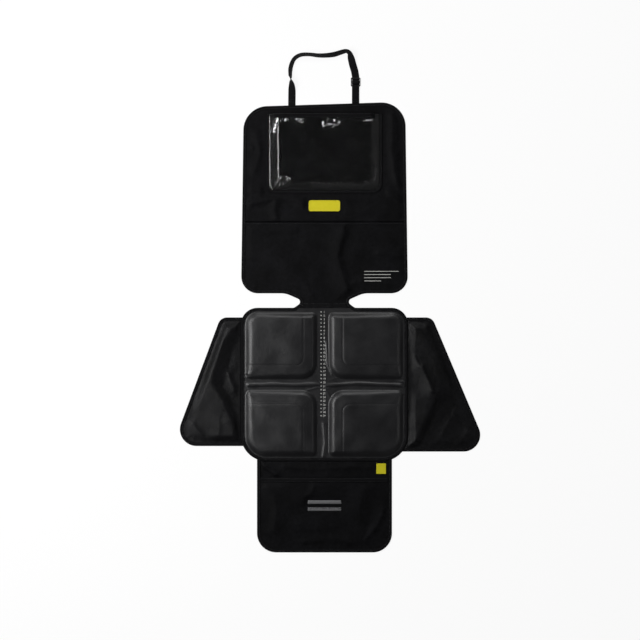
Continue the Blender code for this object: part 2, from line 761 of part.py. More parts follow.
def make_wing(name, side, top_reach, bottom_reach, bottom, folds):
    corners = wing_corners(side, top_reach, bottom_reach, bottom, WING_ROOT_OVERLAP)
    sewn = rounded(wing_corners(side, top_reach, bottom_reach, bottom, TAPE_WIDTH - SHEET_GRID))
    sheet = draped_sheet(name, rounded(inset_corners(corners, SHEET_INSET)), LINING_BOTTOM,
                         FACE_THICKNESS, folded(folds, sewn, SHEET_GRID), SHEET_GRID, BLACK_CLOTH)
    section = tape_section(WING_STACK_TOP)
    tape = swept_tape(name + "_binding", rounded_open(corners), section, BLACK_TAPE, False)
    for piece in (sheet, tape):
        cut(piece, "DIFFERENCE", BODY_TRIM)


def pocket_bulge(x, y):
    """How far the flap's pocket stands off: most at its mouth, nothing at its three sewn sides."""
    across = (FLAP_WIDTH / 2 - abs(x) - TAPE_WIDTH) / FLAP_POCKET_RELEASE
    low = FLAP_BOTTOM + TAPE_WIDTH
    along = (y - low) / (FLAP_POCKET_MOUTH - low)
    return FLAP_POCKET_BULGE * smooth(across) * smooth(along)


def make_leg_flap():
    corners = flap_corners(SEAT_BOTTOM + FLAP_ROOT_OVERLAP)
    inside = rounded(inset_corners(corners, SHEET_INSET))
    cloth = plate("leg_flap", [inside], LINING_BOTTOM, LINING_BOTTOM + FACE_THICKNESS, BLACK_CLOTH)
    sheet = as_mesh(cloth, BLACK_CLOTH)
    section = tape_section(STACK_TOP)
    tape = swept_tape("leg_flap_binding", rounded_open(corners), section, BLACK_TAPE, False)
    for piece in (sheet, tape):
        cut(piece, "DIFFERENCE", BODY_TRIM)


def make_flap_pocket():
    inside = rounded(inset_corners(flap_corners(FLAP_POCKET_MOUTH), SHEET_INSET))
    draped_sheet("flap_pocket", inside, FACE_BOTTOM, FACE_THICKNESS, pocket_bulge, FLAP_GRID,
                 BLACK_CLOTH)
    top = FLAP_POCKET_MOUTH - SHEET_INSET
    side = FLAP_WIDTH / 2 - TAPE_INSET
    on_pocket = FACE_TOP + CLEARANCE
    draped_sheet("flap_pocket_hem", rounded(rectangle(-side, side, top - FLAP_POCKET_HEM, top)),
                 on_pocket, TAPE_THICKNESS, pocket_bulge, FLAP_GRID, BLACK_TAPE)
    half = REFLECTIVE_LENGTH / 2
    for name, step in (("upper_reflective_bar", 0.5), ("lower_reflective_bar", -0.5)):
        middle = REFLECTIVE_Y + step * REFLECTIVE_PITCH
        bar = rectangle(-half, half, middle - REFLECTIVE_WIDTH / 2, middle + REFLECTIVE_WIDTH / 2)
        draped_sheet(name, rounded(bar), on_pocket, REFLECTIVE_THICKNESS, pocket_bulge, FLAP_GRID,
                     SILVER_TAPE)


def make_side_tag():
    top = SEAT_BOTTOM - TAG_GAP
    half = TAG_WIDTH / 2
    bottom = LINING_BOTTOM + FACE_THICKNESS + CLEARANCE
    outline = rounded(rectangle(TAG_X - half, TAG_X + half, top - TAG_HEIGHT, top, TAG_RADIUS))
    plate("side_tag", [outline], bottom, bottom + TAG_THICKNESS, YELLOW_RIBBON)


# Headrest strap


def make_slider():
    half_slot = (WEBBING_WIDTH + SLOT_PLAY) / 2
    half, half_height = half_slot + SLIDER_SIDE, SLIDER_HEIGHT / 2
    outlines = [rounded(rectangle(SLIDER_X - half, SLIDER_X + half, SLIDER_Y - half_height,
                                  SLIDER_Y + half_height, SLIDER_RADIUS))]
    for middle in (SLIDER_Y + BAR_STEP / 2, SLIDER_Y - BAR_STEP / 2):
        slot = rectangle(SLIDER_X - half_slot, SLIDER_X + half_slot, middle - SLIDER_SLOT / 2,
                         middle + SLIDER_SLOT / 2, SLOT_RADIUS)
        outlines.append(rounded(slot))
    plate("slider_buckle", outlines, SLIDER_BOTTOM, SLIDER_TOP, BLACK_PLASTIC)


def weave_through_slider():
    """Under the upper bar, over the middle one and down into the lower slot."""
    over = SLIDER_TOP + CLEARANCE
    ease = SLIDER_BAR / 3
    tail = LOWER_BAR_Y + WRAP_RADIUS + 2 * WEBBING_THICKNESS + CLEARANCE
    return [
        (SLIDER_X, SLIDER_Y + SLIDER_HEIGHT / 2 + SLIDER_BAR, 180, 0.0),
        (SLIDER_X, SLIDER_Y + BAR_STEP - SLIDER_BAR / 2 - ease / 2, 180, 0.0),
        (SLIDER_X, SLIDER_Y + SLIDER_BAR / 2 + ease, 180, over),
        (SLIDER_X, SLIDER_Y - SLIDER_BAR / 2 - ease, 180, over),
        (SLIDER_X, tail, 180, SLIDER_BOTTOM),
    ]


def between(a, b, c, d, t):
    """A share t of the way from b to c on a smooth curve that heads from a and towards d."""
    bend = a - 2.5 * b + 2 * c - d / 2
    twist = 1.5 * (b - c) + (d - a) / 2
    return b + t * ((c - a) / 2 + t * (bend + t * twist))


def smooth_route(route, steps):
    """Stations on a smooth line through the route's points, with roll and lift in between."""
    stations = []
    padded = [route[0], *route, route[-1]]
    for p0, p1, p2, p3 in zip(padded, padded[1:], padded[2:], padded[3:]):
        for k in range(steps):
            t = k / steps
            x, y = (between(*four, t) for four in zip(p0[:2], p1[:2], p2[:2], p3[:2]))
            stations.append((x, y, p1[2] + (p2[2] - p1[2]) * t, p1[3] + (p2[3] - p1[3]) * t))
    stations.append(route[-1])
    return stations


def webbing_sections(stations):
    """Middle, across and normal of each section, with the webbing's lowest edge on the floor."""
    middles = []
    for x, y, roll, lift in stations:
        turn = math.radians(roll)
        rest = abs(math.sin(turn)) * WEBBING_WIDTH / 2 + abs(math.cos(turn)) * WEBBING_THICKNESS / 2
        middles.append(Vector((x, y, rest + lift)))
    sections = []
    for i, middle in enumerate(middles):
        along = (middles[min(i + 1, len(middles) - 1)] - middles[max(i - 1, 0)]).normalized()
        level = Vector((along.y, -along.x, 0.0)).normalized()
        across = level.copy()
        across.rotate(Matrix.Rotation(math.radians(-stations[i][2]), 3, along))
        sections.append((middle, across, along.cross(across)))
    return sections


def make_headrest_strap():
    stations = smooth_route(STRAP_ROUTE, STRAP_STEPS) + weave_through_slider()
    sections = webbing_sections(stations)
    strap = ribbon("headrest_strap", sections, WEBBING_WIDTH, WEBBING_THICKNESS, WEBBING)
    cut(strap, "DIFFERENCE", BODY_TRIM)


def make_slider_loop():
    """A short doubled webbing, sewn to the top edge and folded round the slider's lower bar."""
    half = WEBBING_THICKNESS / 2
    turn_radius = WRAP_RADIUS + half
    closed_top = half + WEBBING_THICKNESS + CLEARANCE
    side_view = [(STRAP_ROOT, half), (LOWER_BAR_Y - WRAP_RADIUS, half)]
    for k in range(LOOP_STEPS + 1):
        angle = math.pi * (k / LOOP_STEPS - 0.5)
        y = LOWER_BAR_Y + turn_radius * math.cos(angle)
        side_view.append((y, half + turn_radius * (1 + math.sin(angle))))
    side_view.append((LOWER_BAR_Y - LOOP_CLOSING / 2, closed_top + WRAP_RADIUS / 2))
    side_view.append((LOWER_BAR_Y - LOOP_CLOSING, closed_top))
    side_view.append((STRAP_ROOT, closed_top))
    middles = [Vector((SLIDER_X, y, z)) for y, z in side_view]
    across = Vector((1.0, 0.0, 0.0))
    sections = []
    for i, middle in enumerate(middles):
        along = (middles[min(i + 1, len(middles) - 1)] - middles[max(i - 1, 0)]).normalized()
        sections.append((middle, across, along.cross(across)))
    loop = ribbon("slider_loop", sections, WEBBING_WIDTH, WEBBING_THICKNESS, WEBBING)
    cut(loop, "DIFFERENCE", BODY_TRIM)


def rest_on_origin():
    """Everything hangs on one empty, moved so that the footprint's middle lies on the origin."""
    bpy.context.view_layer.update()
    graph = bpy.context.evaluated_depsgraph_get()
    lowest = Vector((math.inf,) * 3)
    highest = -lowest
    for obj in PARTS.objects:
        evaluated = obj.evaluated_get(graph)
        mesh = evaluated.to_mesh()
        for vert in mesh.vertices:
            point = evaluated.matrix_world @ vert.co
            lowest = Vector(map(min, lowest, point))
            highest = Vector(map(max, highest, point))
        evaluated.to_mesh_clear()
    middle = (lowest + highest) / 2
    frame = bpy.data.objects.new("laid_out", None)
    bpy.context.scene.collection.objects.link(frame)
    for obj in list(PARTS.objects) + list(CUTTERS.objects):
        obj.parent = frame
    frame.location = (-middle.x, -middle.y, -lowest.z)


make_edge_binding()
make_back_panel()
make_tablet_pocket()
make_badge()
make_neck_tape()
make_seat_pad()
make_grip_backing()
make_wing("left_wing", -1, LEFT_WING_TOP_REACH, LEFT_WING_BOTTOM_REACH, LEFT_WING_BOTTOM,
          LEFT_WING_FOLDS)
make_wing("right_wing", 1, RIGHT_WING_TOP_REACH, RIGHT_WING_BOTTOM_REACH, RIGHT_WING_BOTTOM,
          RIGHT_WING_FOLDS)
make_leg_flap()
make_flap_pocket()
make_side_tag()
make_slider()
make_headrest_strap()
make_slider_loop()
rest_on_origin()
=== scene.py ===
import math

import bmesh
import bpy
import numpy as np
from mathutils import Matrix, Vector, kdtree
from mathutils.geometry import delaunay_2d_cdt


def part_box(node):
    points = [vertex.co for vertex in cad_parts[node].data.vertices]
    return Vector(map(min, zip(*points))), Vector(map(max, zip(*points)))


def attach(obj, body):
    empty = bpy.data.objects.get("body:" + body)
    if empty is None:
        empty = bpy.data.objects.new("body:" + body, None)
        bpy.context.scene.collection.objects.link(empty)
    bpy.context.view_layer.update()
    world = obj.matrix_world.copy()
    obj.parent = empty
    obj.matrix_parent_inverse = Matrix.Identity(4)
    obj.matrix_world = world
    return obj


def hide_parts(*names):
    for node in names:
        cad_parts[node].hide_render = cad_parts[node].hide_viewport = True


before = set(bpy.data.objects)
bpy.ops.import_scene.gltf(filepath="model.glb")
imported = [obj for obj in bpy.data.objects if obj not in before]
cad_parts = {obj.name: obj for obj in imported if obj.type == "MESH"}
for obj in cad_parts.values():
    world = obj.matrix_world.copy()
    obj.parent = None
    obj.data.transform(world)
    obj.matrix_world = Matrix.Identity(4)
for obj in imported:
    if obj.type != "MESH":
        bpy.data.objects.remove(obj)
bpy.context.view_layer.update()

print("frame loaded,", len(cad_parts), "nodes")

# Everything below is drawn where the maker's pattern has it, with y = 0 in the neck and x = 0 down the middle
seatMiddleY = -0.224
gripLow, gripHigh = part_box("grip_backing")
layoutShift = ((gripLow[0] + gripHigh[0]) / 2, (gripLow[1] + gripHigh[1]) / 2 - seatMiddleY)

layers = {  # metres over the floor, from the CAD stack
    "tape": 0.0008, "gap": 0.0003, "lining": 0.0011, "cloth": 0.0010, "top": 0.0034,
    "bodyTape": 0.0045, "wingTape": 0.0032, "tapeWidth": 0.0090,
    "sewnIn": 0.0009,  # how far the wings and the flap go in under the seat's tape
    "halfSeam": 0.00015,  # from a seam to the cut edge of each cloth
}


# Outlines: corners are (x, y, radius), counter-clockwise

def insetCorners(corners, distance):
    moved = []
    for i, (x, y, radius) in enumerate(corners):
        here = Vector((x, y))
        before = (here - Vector(corners[i - 1][:2])).normalized()
        after = (Vector(corners[(i + 1) % len(corners)][:2]) - here).normalized()
        turn = before.cross(after)
        inwards = Vector((-before.y - after.y, before.x + after.x)) * (distance / (1 + before.dot(after)))
        kept = max(radius - distance if turn > 0 else radius + distance, 0.0001)
        moved.append((x + inwards.x, y + inwards.y, kept if radius > 0 else 0.0))
    return moved


def cornerArc(before, corner, after, step=math.radians(5)):
    here = Vector(corner[:2])
    if corner[2] <= 0:
        return [tuple(here)]
    toBefore = (Vector(before[:2]) - here).normalized()
    toAfter = (Vector(after[:2]) - here).normalized()
    half = toBefore.angle(toAfter) / 2
    middle = here + (toBefore + toAfter).normalized() * corner[2] / math.sin(half)
    first = here + toBefore * corner[2] / math.tan(half) - middle
    last = here + toAfter * corner[2] / math.tan(half) - middle
    sweep = math.atan2(first.cross(last), first.dot(last))
    count = max(3, round(abs(sweep) / step))
    return [tuple(middle + Matrix.Rotation(sweep * k / count, 2) @ first) for k in range(count + 1)]


def roundedOutline(corners):
    points = []
    for i, corner in enumerate(corners):
        points += cornerArc(corners[i - 1], corner, corners[(i + 1) % len(corners)])
    return points


def roundedLine(corners):
    points = [corners[0][:2]]
    for before, corner, after in zip(corners, corners[1:], corners[2:]):
        points += cornerArc(before, corner, after)
    return points + [corners[-1][:2]]


def boxCorners(left, right, bottom, top, radius=0.0):
    return [(left, bottom, radius), (right, bottom, radius), (right, top, radius), (left, top, radius)]


def keepSide(points, y, above):
    side, kept = (1 if above else -1), []
    for (x0, y0), (x1, y1) in zip(points, points[1:] + points[:1]):
        start, end = side * (y0 - y), side * (y1 - y)
        if start >= 0:
            kept.append((x0, y0))
        if start * end < 0:
            kept.append((x0 + (x1 - x0) * start / (start - end), y))
    return kept


# nothing longer than the spacing, and every given point kept
def spacedAlong(points, spacing, closed):
    line = list(points) + ([points[0]] if closed else [])
    out = []
    for (x0, y0), (x1, y1) in zip(line, line[1:]):
        count = max(1, math.ceil(math.hypot(x1 - x0, y1 - y0) / spacing))
        out += [(x0 + (x1 - x0) * k / count, y0 + (y1 - y0) * k / count) for k in range(count)]
    return out if closed else out + [line[-1]]


def evenlyAlong(points, spacing, closed):
    line = np.array(list(points) + ([points[0]] if closed else []), float)
    runs = np.concatenate(([0.0], np.cumsum(np.linalg.norm(np.diff(line, axis=0), axis=1))))
    count = max(2, round(runs[-1] / spacing))
    at = np.linspace(0.0, runs[-1], count + 1)
    if closed:
        at = at[:-1]
    return np.column_stack([np.interp(at, runs, line[:, k]) for k in range(line.shape[1])])


# one step to the left at each point of a line, which is inwards on a line that runs counter-clockwise
def leftOf(path, closed=False):
    ahead = np.roll(path, -1, 0) - np.roll(path, 1, 0) if closed else np.gradient(path, axis=0)
    ahead /= np.linalg.norm(ahead, axis=1)[:, None]
    return np.column_stack((-ahead[:, 1], ahead[:, 0]))


# guide lines along a crease, each moved to its left by an offset
def guidesBeside(line, spacing, offsets):
    path = evenlyAlong(line, spacing, False)
    beside = leftOf(path)
    return [[tuple(point) for point in path + beside * offset] for offset in offsets]


# a row of points at one y, a little over a height field
def rowOn(heightAt, xs, y, lift):
    return np.column_stack((xs, xs * 0 + y, heightAt(xs, xs * 0 + y) + lift))


# Height fields

def smoothStep(value):
    value = np.clip(value, 0.0, 1.0)
    return value * value * (3 - 2 * value)


# soft unevenness of about one, with lumps of the given size, from 18 waves that run all ways
def ripple(x, y, size, seed):
    rng = np.random.default_rng(seed)
    total = np.zeros_like(x)
    for angle, phase, scale in rng.random((18, 3)):
        turn = angle * 2 * math.pi
        rate = 2 * math.pi / (size * (0.7 + 0.9 * scale))
        total += np.cos(rate * (x * math.cos(turn) + y * math.sin(turn)) + phase * 6.283)
    return total / 3.0


# distance to a line, on which side (left is positive), and how far along it
def lineField(x, y, line, closed=False):
    points = np.array(list(line) + ([line[0]] if closed else []), float)
    best = np.full(x.shape, np.inf)
    side = np.ones(x.shape)
    along = np.zeros(x.shape)
    run = 0.0
    for start, end in zip(points, points[1:]):
        step = end - start
        length = math.hypot(*step)
        if length == 0:
            continue
        dx, dy = x - start[0], y - start[1]
        share = np.clip((dx * step[0] + dy * step[1]) / length ** 2, 0.0, 1.0)
        away = np.hypot(dx - share * step[0], dy - share * step[1])
        nearer = away < best
        best = np.where(nearer, away, best)
        side = np.where(nearer, np.sign(step[0] * dy - step[1] * dx), side)
        along = np.where(nearer, run + share * length, along)
        run += length
    return best, side, along


def fold(x, y, line, rise, leftWidth, rightWidth, sharp=1.5):
    away, side, _ = lineField(x, y, line)
    width = np.where(side > 0, leftWidth, rightWidth)
    return rise * np.exp(-(away / width) ** sharp)


# the highest of several folds
def folded(x, y, folds):
    raised = np.zeros(x.shape)
    for line, rise, leftWidth, rightWidth in folds:
        raised = np.maximum(raised, fold(x, y, line, rise, leftWidth, rightWidth))
    return raised


# a flat facet on each side of a crease, with its crest and its two feet rounded
def facets(x, y, line, rise, leftWidth, rightWidth):
    crestRound, footRound = 0.10, 0.12
    away, side, _ = lineField(x, y, line)
    fall = 1 - np.hypot(away / np.where(side > 0, leftWidth, rightWidth), crestRound)
    return rise * (fall + np.hypot(fall, footRound)) / 2


# how far inside a box with a radius for each corner: left bottom, right bottom, right top, left top
def boxDepth(x, y, box, radii):
    left, right, bottom, top = box
    px, py = x - (left + right) / 2, y - (bottom + top) / 2
    radius = np.where(px > 0, np.where(py > 0, radii[2], radii[1]), np.where(py > 0, radii[3], radii[0]))
    qx = np.abs(px) - (right - left) / 2 + radius
    qy = np.abs(py) - (top - bottom) / 2 + radius
    return -(np.minimum(np.maximum(qx, qy), 0) + np.hypot(np.maximum(qx, 0), np.maximum(qy, 0)) - radius)


def insideOutline(x, y, outline):
    inside = np.zeros(x.shape, bool)
    for (x0, y0), (x1, y1) in zip(outline, outline[1:] + outline[:1]):
        if y0 == y1:
            continue
        crosses = (y0 > y) != (y1 > y)
        inside ^= crosses & (x < (x1 - x0) * (y - y0) / (y1 - y0) + x0)
    return inside


# Meshes

def meshPiece(name, points, faces, finish, smooth=True):
    mesh = bpy.data.meshes.new(name)
    placed = np.array(points, float)
    placed[:, 0] += layoutShift[0]
    placed[:, 1] += layoutShift[1]
    mesh.from_pydata(placed.tolist(), [], [list(map(int, face)) for face in faces])
    mesh.polygons.foreach_set("use_smooth", [smooth] * len(mesh.polygons))
    mesh.materials.append(finish)
    mesh.update()
    piece = bpy.data.objects.new(name, mesh)
    bpy.context.scene.collection.objects.link(piece)
    return piece


# points on the outline and the guide lines with a grid between them, joined into triangles
def filledOutline(outline, spacing, guides=()):
    guideClear, gridClear, sameSpot = 0.4 * spacing, 0.6 * spacing, 1e-7
    edge = spacedAlong(outline, spacing, True)
    fixed = list(edge)
    for guide in guides:
        gx, gy = np.array(spacedAlong(guide, spacing, False)).T
        keep = insideOutline(gx, gy, edge) & (lineField(gx, gy, outline, True)[0] > guideClear)
        fixed += list(zip(gx[keep], gy[keep]))
    tree = kdtree.KDTree(len(fixed))
    for i, (x, y) in enumerate(fixed):
        tree.insert((x, y, 0), i)
    tree.balance()
    xs, ys = zip(*edge)
    gx, gy = np.meshgrid(np.arange(min(xs), max(xs), spacing), np.arange(min(ys), max(ys), spacing))
    gx[1::2] += spacing / 2
    gx, gy = gx.ravel(), gy.ravel()
    keep = insideOutline(gx, gy, edge)
    gx, gy = gx[keep], gy[keep]
    free = [(x, y) for x, y in zip(gx, gy) if tree.find((x, y, 0))[2] > gridClear]
    ring = [(i, (i + 1) % len(edge)) for i in range(len(edge))]
    found = delaunay_2d_cdt([Vector(p) for p in fixed + free], ring, [list(range(len(edge)))], 1, sameSpot)
    return np.array([tuple(p) for p in found[0]]), found[2]


# a sheet whose upper face follows a height field
def clothPiece(name, outline, spacing, heightAt, thickness, finish, guides=()):
    flatPoints, faces = filledOutline(outline, spacing, guides)
    x, y = flatPoints.T
    piece = meshPiece(name, np.column_stack((x, y, heightAt(x, y))), faces, finish)
    thick = piece.modifiers.new("clothThickness", "SOLIDIFY")
    thick.thickness = thickness
    thick.offset = -1.0
    return piece


# a section (inwards, up) carried along a line that runs counter-clockwise; UVs are metres along and across
def sweptPiece(name, path, closed, section, finish, wobble=None):
    inward = leftOf(path, closed)
    steps = np.linalg.norm(np.diff(path, axis=0), axis=1)
    run = np.concatenate(([0.0], np.cumsum(steps)))
    count, size = len(path), len(section)
    section = np.array(section, float)
    across = np.tile(section[:, 0], (count, 1))
    up = np.tile(section[:, 1], (count, 1))
    if wobble:
        across, up = wobble(run[:, None], across, up)
    points = np.empty((count, size, 3))
    points[:, :, 0] = path[:, 0:1] + inward[:, 0:1] * across
    points[:, :, 1] = path[:, 1:2] + inward[:, 1:2] * across
    points[:, :, 2] = up
    faces = []
    for i in range(count if closed else count - 1):
        j = (i + 1) % count
        for k in range(size):
            n = (k + 1) % size
            faces.append((i * size + k, i * size + n, j * size + n, j * size + k))
    if not closed:
        faces.append(tuple(range(size))[::-1])
        faces.append(tuple((count - 1) * size + k for k in range(size)))
    piece = meshPiece(name, points.reshape(-1, 3), faces, finish)
    girth = np.concatenate(([0.0], np.cumsum(np.linalg.norm(np.diff(section, axis=0), axis=1))))
    uv = piece.data.uv_layers.new(name="alongTape")
    spots = np.empty(len(piece.data.loops), int)
    piece.data.loops.foreach_get("vertex_index", spots)
    along = run[spots // size]
    if closed:
        starts = np.arange(len(spots)) // 4 // size
        wrapped = (starts == count - 1) & (spots // size == 0)
        along[wrapped] = run[-1] + steps[-1]
    uv.data.foreach_set("uv", np.column_stack((along, girth[spots % size])).ravel())
    facesOut(piece)
    return piece


def facesOut(piece):
    bm = bmesh.new()
    bm.from_mesh(piece.data)
    bmesh.ops.recalc_face_normals(bm, faces=bm.faces)
    bm.to_mesh(piece.data)
    bm.free()


# UVs in metres, seen from above, for a tape that lies flat
def flatUv(piece):
    uv = piece.data.uv_layers.new(name="alongTape")
    for spot in piece.data.loops:
        uv.data[spot.index].uv = piece.data.vertices[spot.vertex_index].co[:2]


# webbing with rounded edges through (middle, across, normal) sections; UVs are metres along and across
def ribbonPiece(name, sections, width, thickness, finish):
    half, thin = width / 2, thickness / 2
    edge = [(-half, 0), (-half + thin * 0.5, -thin * 0.85), (-half + thin * 1.6, -thin), (0, -thin * 1.04)]
    loop = edge + [(-u, v) for u, v in reversed(edge[:-1])]
    loop += [(u, -v) for u, v in reversed(loop[1:-1])]
    points, run, before = [], [], None
    for middle, across, normal in sections:
        run.append(0.0 if before is None else run[-1] + (middle - before).length)
        before = middle
        points += [tuple(middle + across * u + normal * v) for u, v in loop]
    size, count = len(loop), len(sections)
    faces = [(i * size + k, i * size + (k + 1) % size, (i + 1) * size + (k + 1) % size, (i + 1) * size + k)
             for i in range(count - 1) for k in range(size)]
    faces += [tuple(range(size))[::-1], tuple((count - 1) * size + k for k in range(size))]
    piece = meshPiece(name, points, faces, finish)
    uv = piece.data.uv_layers.new(name="alongTape")
    for spot in piece.data.loops:
        uv.data[spot.index].uv = (run[spot.vertex_index // size], loop[spot.vertex_index % size][0])
    facesOut(piece)
    return piece


# lockstitches: one short slack thread after another along each line, its ends dipping into the cloth
def stitchRow(name, lines, finish, pitch=0.0034, length=0.0025, radius=0.00024):
    rings = [  # where along the stitch, its thickness and its lift in radii
        (0.0, 0.35, -0.9), (0.18, 0.9, 0.1), (0.5, 1.0, 0.4), (0.82, 0.9, 0.1), (1.0, 0.35, -0.9),
    ]
    sides = 6
    angles = np.arange(sides) * 2 * math.pi / sides
    points, faces = [], []
    for line in lines:
        at = evenlyAlong(line, pitch, False)
        for start, end in zip(at, at[1:]):
            middle, step = (start + end) / 2, end - start
            far = np.linalg.norm(step)
            if far == 0:
                continue
            ahead = step / far
            side = np.cross((0, 0, 1.0), ahead)
            side /= np.linalg.norm(side)
            lift = np.cross(ahead, side)
            first = len(points)
            for share, plump, sink in rings:
                centre = middle + ahead * (share - 0.5) * length + lift * sink * radius
                for angle in angles:
                    points.append(centre + (side * math.cos(angle) + lift * math.sin(angle)) * radius * plump)
            for r in range(len(rings) - 1):
                for k in range(sides):
                    a, b = first + r * sides + k, first + r * sides + (k + 1) % sides
                    faces.append((a, b, b + sides, a + sides))
    return meshPiece(name, points, faces, finish)


def dress(piece, slot, *nodes):
    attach(piece, "root")
    if nodes:
        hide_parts(*nodes)
    return piece


print("tools ready")


# Materials: sRGB hex as the finish would be matched against a swatch card

def hexToLinear(code):
    parts = [int(code[i:i + 2], 16) / 255 for i in (1, 3, 5)]
    return tuple(c / 12.92 if c <= 0.04045 else ((c + 0.055) / 1.055) ** 2.4 for c in parts) + (1.0,)


def addNode(material, kind, links=None, **settings):
    tree = material.node_tree
    node = tree.nodes.new(kind)
    for key, value in settings.items():
        setattr(node, key, value)
    for socket, source in (links or {}).items():
        if isinstance(source, bpy.types.NodeSocket):
            tree.links.new(source, node.inputs[socket])
        else:
            node.inputs[socket].default_value = source
    return node


def startMaterial(name, sockets):
    material = bpy.data.materials.new(name)
    material.use_nodes = True
    shader = material.node_tree.nodes["Principled BSDF"]
    for socket, value in sockets.items():
        shader.inputs[socket].default_value = value
    return material, shader


def feed(material, node, sources):
    for socket, source in sources.items():
        material.node_tree.links.new(source, node.inputs[socket])


def bandScale(millimetres):
    return 0.314159 / (millimetres / 1000)  # a Wave texture's bands are 0.314 apart at scale 1


def spotScale(millimetres):
    return 1000 / millimetres  # Voronoi cells and Noise lumps are about 1 apart at scale 1


# Coated Oxford polyester, plain woven: dull black with a dry bloom, thread grid showing only close up
def wovenPolyester(name, dark, light, threadMm, roughness, specular, sheen):
    material, shader = startMaterial(name, {
        "Specular IOR Level": specular, "IOR": 1.5,
        "Sheen Weight": sheen, "Sheen Roughness": 0.45, "Sheen Tint": hexToLinear("#9fa0a6"),
    })
    place = addNode(material, "ShaderNodeTexCoord").outputs["Object"]
    thread = {"Vector": place, "Scale": bandScale(threadMm)}
    warp = addNode(material, "ShaderNodeTexWave", thread, bands_direction="X")
    weft = addNode(material, "ShaderNodeTexWave", thread, bands_direction="Y")
    weave = addNode(material, "ShaderNodeMath", {0: warp.outputs["Fac"], 1: weft.outputs["Fac"]},
                    operation="MULTIPLY")
    slub = addNode(material, "ShaderNodeTexNoise", {
        "Vector": place, "Scale": spotScale(9), "Detail": 5.0, "Roughness": 0.6})
    cloud = addNode(material, "ShaderNodeTexNoise", {"Vector": place, "Scale": spotScale(70), "Detail": 3.0})
    mottle = addNode(material, "ShaderNodeMath", {0: slub.outputs["Fac"], 1: cloud.outputs["Fac"]},
                     operation="MULTIPLY")
    tone = addNode(material, "ShaderNodeMapRange", {
        "Value": mottle.outputs[0], "From Min": 0.15, "From Max": 0.38})
    colour = addNode(material, "ShaderNodeMix", {
        "Factor": tone.outputs[0], "A": hexToLinear(dark), "B": hexToLinear(light)}, data_type="RGBA")
    dull = addNode(material, "ShaderNodeMapRange", {
        "Value": slub.outputs["Fac"], "From Min": 0.3, "From Max": 0.7,
        "To Min": roughness - 0.07, "To Max": roughness + 0.07})
    threads = addNode(material, "ShaderNodeBump", {
        "Height": weave.outputs[0], "Strength": 0.35, "Distance": 0.00025})
    crumple = addNode(material, "ShaderNodeBump", {
        "Height": slub.outputs["Fac"], "Strength": 0.25, "Distance": 0.0012, "Normal": threads.outputs[0]})
    feed(material, shader, {
        "Base Color": colour.outputs["Result"], "Roughness": dull.outputs[0], "Normal": crumple.outputs[0]})
    return material


# PU leatherette pressed over foam in a hot mould: pebble grain, semi-matt with soft wide highlights
def pressedLeatherette():
    material, shader = startMaterial("pressedPuLeatherette", {"Specular IOR Level": 0.5, "IOR": 1.5})
    place = addNode(material, "ShaderNodeTexCoord").outputs["Object"]
    pebble = addNode(material, "ShaderNodeTexVoronoi", {"Vector": place, "Scale": spotScale(1.6)}, feature="F1")
    pore = addNode(material, "ShaderNodeTexNoise", {"Vector": place, "Scale": spotScale(0.9), "Detail": 4.0})
    cloud = addNode(material, "ShaderNodeTexNoise", {
        "Vector": place, "Scale": spotScale(45), "Detail": 4.0, "Roughness": 0.55})
    tone = addNode(material, "ShaderNodeMapRange", {
        "Value": cloud.outputs["Fac"], "From Min": 0.3, "From Max": 0.7})
    colour = addNode(material, "ShaderNodeMix", {
        "Factor": tone.outputs[0], "A": hexToLinear("#101012"), "B": hexToLinear("#161618")}, data_type="RGBA")
    gloss = addNode(material, "ShaderNodeMapRange", {
        "Value": cloud.outputs["Fac"], "From Min": 0.3, "From Max": 0.7, "To Min": 0.36, "To Max": 0.44})
    grain = addNode(material, "ShaderNodeBump", {
        "Height": pebble.outputs["Distance"], "Strength": 0.30, "Distance": 0.00030})
    fine = addNode(material, "ShaderNodeBump", {
        "Height": pore.outputs["Fac"], "Strength": 0.20, "Distance": 0.00015, "Normal": grain.outputs[0]})
    feed(material, shader, {
        "Base Color": colour.outputs["Result"], "Roughness": gloss.outputs[0], "Normal": fine.outputs[0]})
    return material


# Polypropylene grosgrain or webbing, narrow woven: cross ribs that follow the tape, a little greasy shine
def ribbedTape(name, dark, light, ribMm, edgeMm, roughness, depth):
    material, shader = startMaterial(name, {"Specular IOR Level": 0.07, "IOR": 1.49})
    place = addNode(material, "ShaderNodeUVMap", uv_map="alongTape").outputs["UV"]
    ribs = addNode(material, "ShaderNodeTexWave", {
        "Vector": place, "Scale": bandScale(ribMm), "Distortion": 0.4, "Detail": 1.0}, bands_direction="X")
    ends = addNode(material, "ShaderNodeTexWave", {"Vector": place, "Scale": bandScale(edgeMm)},
                   bands_direction="Y")
    weave = addNode(material, "ShaderNodeMath", {0: ends.outputs["Fac"], 1: 0.35, 2: ribs.outputs["Fac"]},
                    operation="MULTIPLY_ADD")
    wear = addNode(material, "ShaderNodeTexNoise", {"Vector": place, "Scale": spotScale(14), "Detail": 4.0})
    tone = addNode(material, "ShaderNodeMath", {0: wear.outputs["Fac"], 1: ribs.outputs["Fac"]},
                   operation="MULTIPLY")
    colour = addNode(material, "ShaderNodeMix", {
        "Factor": tone.outputs[0], "A": hexToLinear(dark), "B": hexToLinear(light)}, data_type="RGBA")
    dull = addNode(material, "ShaderNodeMapRange", {
        "Value": wear.outputs["Fac"], "To Min": roughness - 0.1, "To Max": roughness + 0.1})
    bump = addNode(material, "ShaderNodeBump", {"Height": weave.outputs[0], "Strength": 0.6, "Distance": depth})
    feed(material, shader, {
        "Base Color": colour.outputs["Result"], "Roughness": dull.outputs[0], "Normal": bump.outputs[0]})
    return material


